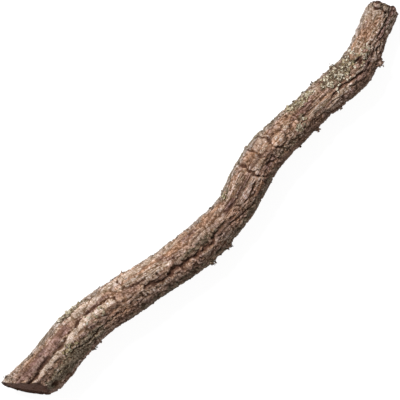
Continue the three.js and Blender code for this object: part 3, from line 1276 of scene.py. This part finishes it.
def chip_shape(size, random):
    """A thin curled chip of bark: a ragged outline above and below its middle."""
    turns = np.arange(CHIP_CORNERS) * FULL_TURN / CHIP_CORNERS
    reach = size * random.uniform(0.55, 1.0, CHIP_CORNERS)
    x, y = 1.2 * reach * np.cos(turns), 0.8 * reach * np.sin(turns)
    curl = random.uniform(-0.2, 0.3) * (x * x + y * y) / size
    thick = 0.3 * size + 0.2
    outline = np.stack([x, y, curl], -1)
    top = np.vstack([outline * [0.85, 0.85, 1] + [0, 0, thick / 2], [[0, 0, 0.7 * thick]]])
    bottom = np.vstack([outline - [0, 0, thick / 2], [[0, 0, -0.7 * thick]]])
    ring = np.arange(CHIP_CORNERS)
    after = (ring + 1) % CHIP_CORNERS
    middle = np.full_like(ring, CHIP_CORNERS)
    faces = np.stack([ring, after, middle], -1).tolist()
    below = CHIP_CORNERS + 1
    faces += np.stack([below + after, below + ring, below + middle], -1).tolist()
    faces += np.stack([below + ring, below + after, after, ring], -1).tolist()
    return np.vstack([top, bottom]), faces


def chip_places(random):
    """Where each chip lies: along, angle, height over the bark, size, lift, algae."""
    places = []
    for along, turn, spread, count, algae in CLUMPS:
        for _ in range(count):
            step = random.normal(size=2) * spread * 0.42
            height = abs(random.normal()) * spread * 0.35
            around = turn + math.degrees(step[1] / MEAN_RADIUS)
            size = random.uniform(0.35, 0.62) * spread**0.5 * 1.5
            lift = random.uniform(0, 90)
            places.append((along + step[0], around, height, size, lift, algae))
    for _ in range(LOOSE_CHIPS):
        along, turn = random.uniform(*CHIP_REACH), random.uniform(0, 360)
        size = random.uniform(*CHIP_SIZES)
        places.append((along, turn, 0.1 * size, size, random.uniform(0, 26), 0.0))
    return places


def add_chips(work, skin):
    """Chips that peel off the bark: clumps at the edges and a scatter all over."""
    random = np.random.default_rng(CHIP_SEED)
    for along, turn, height, size, lift, algae in chip_places(random):
        column = int(round(turn / 360 * COLUMNS)) % COLUMNS
        row = int(np.argmin(abs(skin.along[:, column] - along)))
        row = min(max(row, 1), ROWS - 2)
        forward = skin.points[row + 1, column] - skin.points[row - 1, column]
        around = skin.points[row, (column + 1) % COLUMNS] - skin.points[row, column - 1]
        out = np.cross(around, forward)
        forward, around, out = (v / np.linalg.norm(v) for v in (forward, around, out))
        shape, faces = chip_shape(size, random)
        spin, tip = random.uniform(0, FULL_TURN), math.radians(lift)
        across = forward * math.cos(spin) + around * math.sin(spin)
        over = np.cross(out, across)
        raised = across * math.cos(tip) + out * math.sin(tip)
        normal = np.cross(raised, over)
        base = skin.points[row, column] + out * height + raised * 0.4 * size * math.sin(tip)
        placed = base + shape[:, :1] * raised + shape[:, 1:2] * over + shape[:, 2:] * normal
        placed[:, 2] = np.maximum(placed[:, 2], 0.02)
        values = {key: mask[row, column] for key, mask in skin.masks.items()}
        # A lifted chip gets more of the painted furrow shade at its edge.
        values["crack"] = 0.12 if lift < FLAT_LIFT else 0.35
        values["green"] = max(values["green"], algae)
        values["proud"] = random.uniform(0.35, 0.9)
        values["plate"] = random.random()
        work.add(placed, faces, skin.straight[row, column] + shape, 0, **values)


# The flat layout, in shares of its square: each bark strip's height, the gap between
# strips, the margin at a strip's ends, how far above the strips the end faces' middles lie,
# half of an end face, and the middles of the two faces.
STRIP_HEIGHT = 0.43
STRIP_GAP = 0.005
STRIP_MARGIN = 0.002
END_RISE = 0.07
END_HALF = 0.058
END_MIDDLES = (0.08, 0.22)

# The width that an end face may have, in millimetres.
END_WIDTH = 54


def unwrap_branch(made):
    """Lays the bark out flat in two strips, with the two end faces above them."""
    mesh = made.data
    layer = mesh.uv_layers.new(name="OFBake")
    loops = np.empty(len(mesh.loops), int)
    mesh.loops.foreach_get("vertex_index", loops)
    uv = np.zeros((len(loops), 2))
    bark_loops = 4 * (ROWS - 1) * COLUMNS
    row, column = np.divmod(loops[:bark_loops].reshape(-1, 4), COLUMNS)
    wraps = (column.max(1) == COLUMNS - 1) & (column.min(1) == 0)
    column = np.where(wraps[:, None] & (column == 0), COLUMNS, column)
    half = ROWS // 2
    second = (row.min(1) >= half)[:, None]
    share = (row - np.where(second, half, 0)) / (ROWS - half)
    height = column / COLUMNS * STRIP_HEIGHT
    height = height + np.where(second, STRIP_HEIGHT + 2 * STRIP_GAP, STRIP_GAP)
    uv[:bark_loops, 0] = (STRIP_MARGIN + (1 - 2 * STRIP_MARGIN) * share).ravel()
    uv[:bark_loops, 1] = height.ravel()
    straight = np.empty(len(mesh.vertices) * 3)
    mesh.attributes["straight"].data.foreach_get("vector", straight)
    flat = straight.reshape(-1, 3)[loops[bark_loops:]][:, 1:] / END_WIDTH
    slots = [face.material_index for face in mesh.polygons]
    slots = np.repeat(slots, [face.loop_total for face in mesh.polygons])[bark_loops:]
    uv[bark_loops:, 0] = np.where(slots == 1, *END_MIDDLES) + flat[:, 0] * 2 * END_HALF
    uv[bark_loops:, 1] = 2 * STRIP_HEIGHT + END_RISE + flat[:, 1] * 2 * END_HALF
    layer.data.foreach_set("uv", uv.ravel().astype(np.float32))
    mesh.uv_layers.active = layer


# -------------------------------------------------------------------- lichen


# A lobe: the spokes round it, its rings as shares of its reach and of its rim's height,
# and how far its underside reaches out and down.
LOBE_SPOKES = 9
LOBE_RINGS = ((1.0, 1.0), (0.62, 0.55), (0.25, 0.3))
LOBE_FOOT = (0.55, -0.5)


def lobe_shape(radius, height, random):
    """One ruffled lobe: a shallow dish with a wavy rim, closed underneath."""
    turns = np.arange(LOBE_SPOKES) * FULL_TURN / LOBE_SPOKES
    waves = 1 + 0.28 * np.sin(2 * turns + random.uniform(0, 6))
    waves = waves + random.uniform(-0.15, 0.15, LOBE_SPOKES)
    rim_height = height * (0.75 + 0.35 * np.sin(3 * turns + random.uniform(0, 6)))
    foot_reach, foot_height = LOBE_FOOT
    foot = [foot_reach * radius, np.full_like(turns, foot_height)]
    circles = [foot]
    for share, rise in LOBE_RINGS:
        circles.append([radius * share * waves, rise * rim_height])
    rings = [np.stack([r * np.cos(turns), r * np.sin(turns), z], -1) for r, z in circles]
    points = np.vstack([*rings, [[0, 0, 0.22 * height]]])
    ring = np.arange(LOBE_SPOKES)
    after = (ring + 1) % LOBE_SPOKES
    faces = grid_faces(len(rings), LOBE_SPOKES).tolist()
    last = len(LOBE_RINGS) * LOBE_SPOKES
    middle = np.full_like(ring, last + LOBE_SPOKES)
    faces.extend(np.stack([last + ring, last + after, middle], -1).tolist())
    faces.append(ring[::-1].tolist())
    above = np.concatenate([np.zeros(LOBE_SPOKES), np.ones(last + 1)])
    return points, faces, above


def places_on(node, count, spill, random):
    """Places in clumps over a lichen pad, some of them spilt beyond its edge."""
    mesh = node.data
    triangles = [p.vertices[:3] for p in mesh.polygons]
    corners = np.array([[mesh.vertices[i].co[:] for i in t] for t in triangles]) / MM
    areas = np.array([p.area for p in mesh.polygons])
    chosen = corners[random.choice(len(areas), count, p=areas / areas.sum())]
    a, b = random.random((2, count, 1))
    a, b = np.where(a + b > 1, 1 - a, a), np.where(a + b > 1, 1 - b, b)
    edge_1, edge_2 = chosen[:, 1] - chosen[:, 0], chosen[:, 2] - chosen[:, 0]
    placed = chosen[:, 0] + a * edge_1 + b * edge_2
    centre = corners.mean((0, 1))
    placed = centre + (placed - centre) * (1 + spill * random.random((count, 1)) ** 3)
    clumped = np.argsort(noise(placed, 5.5, 2))
    return placed[clumped[: round(CLUMPED * count)]]


# ----------------------------------------------------------------- materials


# How red, green and blue answer as a place darkens or lightens.
TONE_RESPONSE = (0.82, 1.0, 1.28)

# The specular level of every surface here: all of them are dry and matt.
DRY_GLOSS = 0.25


class Shader:
    """A material's node tree, with short ways to add nodes to it."""

    def __init__(self, name):
        self.material = bpy.data.materials.new(name)
        self.material.use_nodes = True
        self.tree = self.material.node_tree
        self.surface = self.tree.nodes["Principled BSDF"]

    def node(self, kind, sockets, **settings):
        """Adds a node, sets how it works, and fills or links its sockets."""
        made = self.tree.nodes.new("ShaderNode" + kind)
        for name, setting in settings.items():
            setattr(made, name, setting)
        for socket, value in sockets.items():
            self.put(made, socket, value)
        return made

    def put(self, node, socket, value):
        """Sets a socket, or links it if the value is another node's output."""
        target = node.inputs[socket]
        if isinstance(value, bpy.types.NodeSocket):
            self.tree.links.new(value, target)
        elif target.type == "RGBA":
            target.default_value = (*value, 1)
        else:
            target.default_value = value

    def value(self, name):
        """A number stored on the mesh."""
        return self.node("Attribute", {}, attribute_name=name).outputs["Fac"]

    def place(self, stretch=(1, 1, 1), shift=0.0):
        """Places on the straightened branch, in millimetres, stretched for grain."""
        here = self.node("Attribute", {}, attribute_name="straight").outputs["Vector"]
        sockets = {"Vector": here, "Scale": stretch, "Location": (shift, shift, shift)}
        return self.node("Mapping", sockets).outputs["Vector"]

    def noise(self, place, scale, detail=3.0, roughness=0.55, distortion=0.0):
        sockets = {"Vector": place, "Scale": scale, "Detail": detail}
        sockets.update({"Roughness": roughness, "Distortion": distortion})
        return self.node("TexNoise", sockets).outputs["Fac"]

    def warped(self, place, scale, amount):
        """place pushed about by noise, so that what is drawn there turns irregular."""
        push = self.node("TexNoise", {"Vector": place, "Scale": scale, "Detail": 2.0})
        sockets = {0: push.outputs["Color"], 1: (amount, amount, amount), 2: place}
        return self.node("VectorMath", sockets, operation="MULTIPLY_ADD").outputs[0]

    def mosaic(self, place, scale):
        """A random number for each small cell, and how near a place is to its border."""
        cell = self.node("TexVoronoi", {"Vector": place, "Scale": scale})
        split = self.node("SeparateColor", {0: cell.outputs["Color"]})
        return split.outputs[0], self.spots(place, scale, "DISTANCE_TO_EDGE")

    def spots(self, place, scale, feature="F1"):
        """The distance to the nearest of many scattered points, or to a cell's border."""
        sockets = {"Vector": place, "Scale": scale}
        return self.node("TexVoronoi", sockets, feature=feature).outputs["Distance"]

    def ramp(self, value, low, high, bottom=0.0, top=1.0):
        """value from low to high brought to bottom to top."""
        sockets = {"Value": value, "From Min": low, "From Max": high}
        sockets.update({"To Min": bottom, "To Max": top})
        return self.node("MapRange", sockets, interpolation_type="SMOOTHSTEP").outputs[0]

    def math(self, operation, a, b=0.0):
        return self.node("Math", {0: a, 1: b}, operation=operation).outputs[0]

    def times(self, product, *others):
        """Several numbers multiplied together."""
        for other in others:
            product = self.math("MULTIPLY", product, other)
        return product

    def mix(self, share, first, second):
        """first, with a share of it painted over by second."""
        sockets = {"Factor": share, 6: first, 7: second}
        return self.node("Mix", sockets, data_type="RGBA").outputs[2]

    def shade(self, colour, value):
        """A colour made lighter or darker by a number round one."""
        sockets = {0: colour, "Scale": value}
        return self.node("VectorMath", sockets, operation="SCALE").outputs[0]

    def darker_warmer(self, colour, value):
        """A colour made darker and warmer, or lighter and greyer, by a number round one."""
        value = self.math("MAXIMUM", value, 0.2)
        answers = {i: self.math("POWER", value, power) for i, power in enumerate(TONE_RESPONSE)}
        sockets = {0: colour, 1: self.node("CombineXYZ", answers).outputs[0]}
        return self.node("VectorMath", sockets, operation="MULTIPLY").outputs[0]

    def toned(self, value, share):
        """A number round one, drawn back towards one where share is less than one."""
        return self.math("ADD", self.times(self.math("SUBTRACT", value, 1.0), share), 1.0)

    def bump(self, height, distance, strength, before=None):
        """Fine relief, its distance in millimetres, on top of the relief before it."""
        sockets = {"Height": height, "Distance": distance * MM, "Strength": strength}
        if before is not None:
            sockets["Normal"] = before
        return self.node("Bump", sockets).outputs["Normal"]

    def finish(self, colour, roughness, normal):
        self.put(self.surface, "Base Color", colour)
        self.put(self.surface, "Roughness", roughness)
        self.put(self.surface, "Normal", normal)
        self.put(self.surface, "Specular IOR Level", DRY_GLOSS)
        return self.material


def bark_paint(s, patch):
    """The bark's colours: a mottled body with each tint laid over it in its places."""
    bark = bpy.context.scene.branch_bark
    broad = s.noise(s.place(), 0.07, 3)
    tan = s.noise(s.place((0.8, 1, 1), 55), 0.15, 4, 0.6)
    colour = s.mix(s.ramp(broad, 0.35, 0.65, 0, 0.6), bark.body, bark.purple)
    colour = s.mix(s.ramp(tan, 0.48, 0.66, 0, 0.7), colour, bark.warm)
    colour = s.mix(s.ramp(s.value("plate"), 0.2, 0.9, 0.0, 0.5), colour, bark.pale)
    breakup = s.ramp(patch, 0.3, 0.7, -0.35, 0.35)
    for name, strength, tint in (
        # painted light, on the +Y side that faces the key light
        ("bleached", 0.7, bark.bleached),
        # painted shade, on the side away from the key light
        ("damp", 0.65, bark.damp),
        # partly painted shade, in the holes, the furrows and under the lichen
        ("dark", 0.75, bark.damp),
        ("purple", 0.85, bark.purple),
        ("green", 0.75, bark.green),
        ("warm", 0.8, bark.warm),
        ("pale", 0.85, bark.pale),
    ):
        cover = s.ramp(s.math("ADD", s.value(name), breakup), 0.25, 0.75)
        colour = s.mix(s.times(cover, strength), colour, tint)
    return colour


def bark_wear(s, fibre, grain, fine, shaded_cover):
    """How light or dark the bark's fine grain, crumbs and ribs are, and its painted shade in
    the hollows and painted highlight on raised places.
    """
    fibrous = s.value("fibrous")
    cross = s.noise(s.place((1.5, 0.35, 0.35), 120), 0.5, 4, 0.65, 0.3)
    cell, border = s.mosaic(s.warped(s.place((0.8, 1, 1), 33), 0.35, 2.4), 0.4)
    ribs = s.noise(s.place((0.07, 1, 1), 95), 0.75, 2, 0.5, 0.15)
    rough_share = s.ramp(s.value("smooth"), 0, 1, 1.0, 0.35)
    streak = s.ramp(fibre, 0.34, 0.64, 0.82, 1.16)
    checked = s.toned(s.ramp(cross, 0.34, 0.64, 0.64, 1.3), s.ramp(fibrous, 0, 1, 1, 0.4))
    ribbed = s.toned(s.ramp(ribs, 0.4, 0.6, 0.48, 1.46), fibrous)
    speck = s.toned(s.ramp(grain, 0.36, 0.64, 0.58, 1.42), s.ramp(rough_share, 0, 1, 0.3, 1))
    seam = s.ramp(border, 0.0, 0.2, 0.5, 1.0)
    crumbled = s.times(rough_share, s.ramp(s.value("crumbly"), 0, 1, 0.25, 0.9))
    crumb = s.toned(s.times(s.ramp(cell, 0, 1, 0.74, 1.36), seam), crumbled)
    dust = s.ramp(fine, 0.34, 0.66, 0.68, 1.32)
    clear = s.ramp(shaded_cover, 0.1, 1.0, 1.0, 0.5)
    # Painted shade in the hollows and painted highlight on raised places, weaker where shade is
    # painted.
    worn = s.toned(s.ramp(s.value("proud"), 0.1, 0.9, 0.45, 1.4), clear)
    return s.times(streak, speck, checked, worn, dust, s.toned(crumb, clear), ribbed)


def bark_material():
    """Weathered bark: tinted plates, long fibres, grains and algae, with painted shade in its
    cracks and hollows and on its side away from the key light, and painted light on raised
    edges and the +Y side.
    """
    s = Shader("weathered_bark")
    bark = bpy.context.scene.branch_bark
    patch = s.noise(s.place(shift=40), 0.3, 4, 0.6)
    fibre = s.noise(s.place((0.25, 1, 1)), 0.55, 4, 0.6, 0.3)
    grain = s.noise(s.place((0.9, 1, 1), 70), 0.55, 5, 0.7)
    fine = s.noise(s.place((0.8, 1, 1), 15), 1.1, 3, 0.65)
    # Where painted shade is laid: the side away from the key light and the DARK places.
    shaded_cover = s.math("MAXIMUM", s.value("damp"), s.value("dark"))
    cloud = s.noise(s.place((0.7, 1, 1), 145), 0.1, 3, 0.55)
    colour = s.shade(bark_paint(s, patch), s.ramp(cloud, 0.36, 0.64, 0.78, 1.26))
    colour = s.darker_warmer(colour, bark_wear(s, fibre, grain, fine, shaded_cover))

    # Painted highlight: the pale colour laid on raised edges, less where shade is painted.
    edges = s.times(s.ramp(s.value("proud"), 0.58, 0.85), s.ramp(grain, 0.4, 0.6))
    colour = s.mix(s.times(edges, s.ramp(shaded_cover, 0, 1, 0.4, 0.1)), colour, bark.pale)

    spots = s.spots(s.place((0.75, 1, 1), 9), 0.5)
    algae = s.ramp(s.value("green"), 0.2, 0.7, 0.03, 0.7)
    colour = s.mix(s.times(s.ramp(spots, 0.2, 0.34, 1, 0), algae), colour, bark.dots)

    # Painted shade: the furrows, cracks and thin fissures get the dark furrow colour.
    fissure = s.spots(s.warped(s.place((0.7, 1, 1), 21), 0.4, 2.0), 0.24, "DISTANCE_TO_EDGE")
    thin = s.times(s.ramp(fissure, 0.0, 0.09, 1, 0), s.ramp(patch, 0.42, 0.6))
    depth = s.math("ADD", s.value("crack"), s.times(thin, 0.5))
    depth = s.times(depth, s.ramp(shaded_cover, 0.3, 1.0, 1.0, 0.6))
    uneven = s.ramp(grain, 0.3, 0.7, -0.25, 0.2)
    dark = s.ramp(s.math("ADD", depth, uneven), 0.2, 1.05)
    colour = s.mix(s.times(dark, 0.92), colour, bark.crack)

    relief = s.bump(thin, 0.6, 0.7)
    relief = s.bump(grain, 1.3, 0.9, relief)
    relief = s.bump(s.math("ADD", fibre, s.times(fine, 0.4)), 1.5, 0.9, relief)
    return s.finish(colour, s.ramp(fibre, 0.3, 0.7, 0.82, 0.96), relief)


# How much of the wood is rotten, from least to most, in the torn and the rotten face.
TORN_ROT = (0.1, 0.5)
ROTTEN_ROT = (0.6, 0.9)


def wood_material(name, rot):
    """Old wood across the grain: growth rings, splits and a dark bark edge."""
    s = Shader(name)
    wood = bpy.context.scene.branch_wood
    place = s.place()
    split = s.node("SeparateXYZ", {0: place})
    squares = [s.math("POWER", split.outputs[axis], 2.0) for axis in (1, 2)]
    radius = s.math("SQRT", s.math("ADD", *squares))
    wavy = s.math("ADD", radius, s.ramp(s.noise(place, 0.2, 3), 0, 1, -2.5, 2.5))
    rings = s.ramp(s.math("SINE", s.times(wavy, 3.4)), -1, 1)
    stain = s.noise(s.place((1, 1, 1), 12), 0.28, 4)
    grain = s.noise(s.place((0.25, 1, 1), 5), 2.6, 4, 0.65)
    colour = s.mix(s.times(rings, 0.55), wood.wood, wood.ring)
    colour = s.mix(s.ramp(stain, 0.35, 0.65, *rot), colour, wood.rot)
    colour = s.mix(s.ramp(s.value("inner"), 0.1, 0.2, 0.7, 0.0), colour, wood.ring)
    colour = s.shade(colour, s.ramp(grain, 0.3, 0.7, 0.72, 1.28))
    relief = s.bump(rings, 0.3, 0.5)
    relief = s.bump(grain, 0.6, 0.8, relief)
    return s.finish(colour, s.ramp(grain, 0.3, 0.7, 0.8, 0.95), relief)


def lichen_material():
    """Dry lichen: pale lobes, dark at their foot, partly their own dark underside and partly
    painted shade; some patches yellow-green.
    """
    s = Shader("dry_lichen")
    lichen = bpy.context.scene.branch_lichen
    grain = s.noise(s.place(), 3.2, 4, 0.6)
    colour = s.mix(s.value("yellow"), lichen.grey, lichen.yellow)
    lobe = s.ramp(s.value("lobe"), 0, 1, 0.34, 1.25)
    colour = s.darker_warmer(colour, s.times(lobe, s.ramp(grain, 0.3, 0.7, 0.8, 1.16)))
    # The lobes' own dark underside, with painted shade at their foot where they meet the bark.
    colour = s.mix(s.ramp(s.value("above"), 0.1, 0.75, 1.0, 0.0), colour, lichen.underside_and_shade)
    relief = s.bump(grain, 0.35, 0.8)
    return s.finish(colour, s.ramp(grain, 0.3, 0.7, 0.88, 0.97), relief)


def floor_material():
    """A plain pale matt floor."""
    s = Shader("pale_floor")
    stage = bpy.context.scene.branch_stage
    grain = s.noise(s.place(), 40, 2)
    colour = s.mix(s.ramp(grain, 0.3, 0.7, 0.0, 0.02), stage.floor, (1, 1, 1))
    s.put(s.surface, "Emission Color", (1, 1, 1))
    s.put(s.surface, "Emission Strength", stage.floor_glow)
    return s.finish(colour, 0.9, s.bump(grain, 0.02, 0.1))


# ----------------------------------------------------------------- operators


def built_bark():
    """The finished bark, which the chips and the lichen lie on."""
    bark = bpy.data.objects.get(BARK_PIECE)
    if bark is None:
        raise RuntimeError("Build the branch before what lies on it")
    return bark


class BRANCH_OT_bark(bpy.types.Operator):
    """Lay the carved bark over the branch's solid and close its two ends"""

    bl_idname = "branch.bark"
    bl_label = "Build Branch"

    def execute(self, context):
        skin = Skin(Survey(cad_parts[BRANCH_NODE]))
        work = Patchwork([*skin.masks, "inner"])
        add_bark(work, skin)
        add_end(work, skin, True)
        add_end(work, skin, False)
        made = work.finish(BARK_PIECE)
        made.data.materials.append(bark_material())
        made.data.materials.append(wood_material("torn_wood", TORN_ROT))
        made.data.materials.append(wood_material("rotten_wood", ROTTEN_ROT))
        unwrap_branch(made)
        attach(made, "root")
        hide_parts(BRANCH_NODE)
        return {"FINISHED"}


class BRANCH_OT_chips(bpy.types.Operator):
    """Scatter chips of bark over the branch, and heap some in clumps at its edges"""

    bl_idname = "branch.chips"
    bl_label = "Build Bark Chips"

    def execute(self, context):
        bark = built_bark()
        skin = Skin(Survey(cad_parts[BRANCH_NODE]))
        work = Patchwork([*skin.masks, "inner"])
        add_chips(work, skin)
        made = work.finish("bark_chips")
        made.data.materials.append(bark.data.materials[0])
        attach(made, "root")
        return {"FINISHED"}


class BRANCH_OT_lichen(bpy.types.Operator):
    """Grow a crust of ruffled lobes in the place of each lichen pad"""

    bl_idname = "branch.lichen"
    bl_label = "Build Lichen"

    def execute(self, context):
        bark = built_bark()
        settings = context.scene.branch_lichen
        corners = np.empty(len(bark.data.vertices) * 3)
        bark.data.vertices.foreach_get("co", corners)
        faces = [list(p.vertices) for p in bark.data.polygons]
        tree = BVHTree.FromPolygons([Vector(c) for c in corners.reshape(-1, 3) / MM], faces)
        material = lichen_material()
        for order, name in enumerate(LICHEN_PADS):
            self.grow(name, order, tree, settings, material)
        return {"FINISHED"}

    def grow(self, name, order, tree, settings, material):
        """Covers one pad with lobes that lie on the bark."""
        random = np.random.default_rng(LICHEN_SEED + order)
        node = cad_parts[name]
        area = sum(p.area for p in node.data.polygons) / MM / MM / 2
        share, yellow = LICHEN_PADS[name]
        count = int(area / 100 * settings.lobes_per_cm2 * share / CLUMPED)
        places = places_on(node, count, settings.spill, random)
        work = Patchwork(["above", "lobe", "yellow"])
        for place in places:
            hit, normal, _, _ = tree.find_nearest(Vector(place))
            if hit is None:
                raise RuntimeError(name + " lies too far from the bark")
            radius = settings.lobe_radius * random.uniform(0.55, 1.35)
            shape, faces, above = lobe_shape(radius, settings.lobe_height, random)
            out = np.array(normal)
            lean = out + 0.35 * random.normal(size=3)
            lean = lean / np.linalg.norm(lean)
            first = np.cross(lean, random.normal(size=3))
            first = first / np.linalg.norm(first)
            second = np.cross(lean, first)
            placed = np.array(hit) + shape @ np.stack([first, second, lean])
            values = {"above": above, "lobe": random.random()}
            values["yellow"] = np.clip(yellow + random.normal() * 0.25, 0, 1)
            work.add(placed, faces, placed, 0, **values)
        made = work.finish(name + "_lobes")
        made.data.materials.append(material)
        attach(made, "root")
        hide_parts(name)


class BRANCH_OT_stage(bpy.types.Operator):
    """Set up the pale floor, the soft lights and the camera above the branch"""

    bl_idname = "branch.stage"
    bl_label = "Build Stage"

    # The place below the camera in metres, how far the camera is rolled so that the branch
    # lies across its view, its sensor's width in millimetres, and how far it sees in metres.
    AIM = (-0.0015, 0.0182)
    ROLL = math.radians(-44.86)
    SENSOR = 36.0
    SIGHT = 100

    # How far the floor lies below the branch, so that the two don't meet.
    FLOOR_DROP = 0.15

    def execute(self, context):
        stage = context.scene.branch_stage
        self.floor(stage)
        self.lights(context, stage)
        self.camera(context, stage)
        context.scene.view_settings.view_transform = "Standard"
        return {"FINISHED"}

    def floor(self, stage):
        half = stage.floor_size / 2 / MM
        sides = [(-half, -half), (half, -half), (half, half), (-half, half)]
        corners = [(x, y, -self.FLOOR_DROP) for x, y in sides]
        made = new_mesh_object("floor", corners, [[0, 1, 2, 3]], smooth=False)
        add_vectors(made.data, "straight", np.array(corners))
        made.data.materials.append(floor_material())

    def lights(self, context, stage):
        world = bpy.data.worlds.new("soft_sky")
        world.use_nodes = True
        sky = world.node_tree.nodes["Background"]
        sky.inputs["Color"].default_value = (1, 1, 1, 1)
        sky.inputs["Strength"].default_value = stage.sky
        context.scene.world = world
        data = bpy.data.lights.new("key_light", "SUN")
        data.energy = stage.key
        data.angle = stage.key_spread
        made = bpy.data.objects.new("key_light", data)
        made.location = (0, 1, 1)
        made.rotation_euler = (stage.key_height - math.pi / 2, 0, 0)
        context.scene.collection.objects.link(made)

    def camera(self, context, stage):
        low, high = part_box(BRANCH_NODE)
        level = (low.z + high.z) / 2
        data = bpy.data.cameras.new("camera")
        data.sensor_width = self.SENSOR
        data.lens = self.SENSOR * (stage.camera_height - level) / stage.view_width
        data.clip_end = self.SIGHT
        made = bpy.data.objects.new("camera", data)
        made.location = (*self.AIM, stage.camera_height)
        made.rotation_euler = (0, 0, self.ROLL)
        context.scene.collection.objects.link(made)
        context.scene.camera = made


class BRANCH_PT_sidebar(bpy.types.Panel):
    """The branch's settings and the operators that build it"""

    bl_idname = "BRANCH_PT_sidebar"
    bl_label = "Fallen Branch"
    bl_space_type = "VIEW_3D"
    bl_region_type = "UI"
    bl_category = "Branch"

    def draw(self, context):
        for name, kind in SETTINGS.items():
            box = self.layout.box()
            box.label(text=kind.__doc__)
            for field in kind.__annotations__:
                box.prop(getattr(context.scene, name), field)
        for operator in OPERATORS:
            self.layout.operator(operator.bl_idname)


OPERATORS = [BRANCH_OT_stage, BRANCH_OT_bark, BRANCH_OT_chips, BRANCH_OT_lichen]


def register():
    for name, kind in SETTINGS.items():
        bpy.utils.register_class(kind)
        setattr(bpy.types.Scene, name, bpy.props.PointerProperty(type=kind))
    for kind in [*OPERATORS, BRANCH_PT_sidebar]:
        bpy.utils.register_class(kind)


def unregister():
    for kind in [BRANCH_PT_sidebar, *reversed(OPERATORS)]:
        bpy.utils.unregister_class(kind)
    for name, kind in reversed(SETTINGS.items()):
        delattr(bpy.types.Scene, name)
        bpy.utils.unregister_class(kind)


def main():
    """Builds the stage, the branch, its chips and its lichen."""
    register()
    bpy.ops.branch.stage()
    bpy.ops.branch.bark()
    bpy.ops.branch.chips()
    bpy.ops.branch.lichen()


if __name__ == "__main__":
    main()
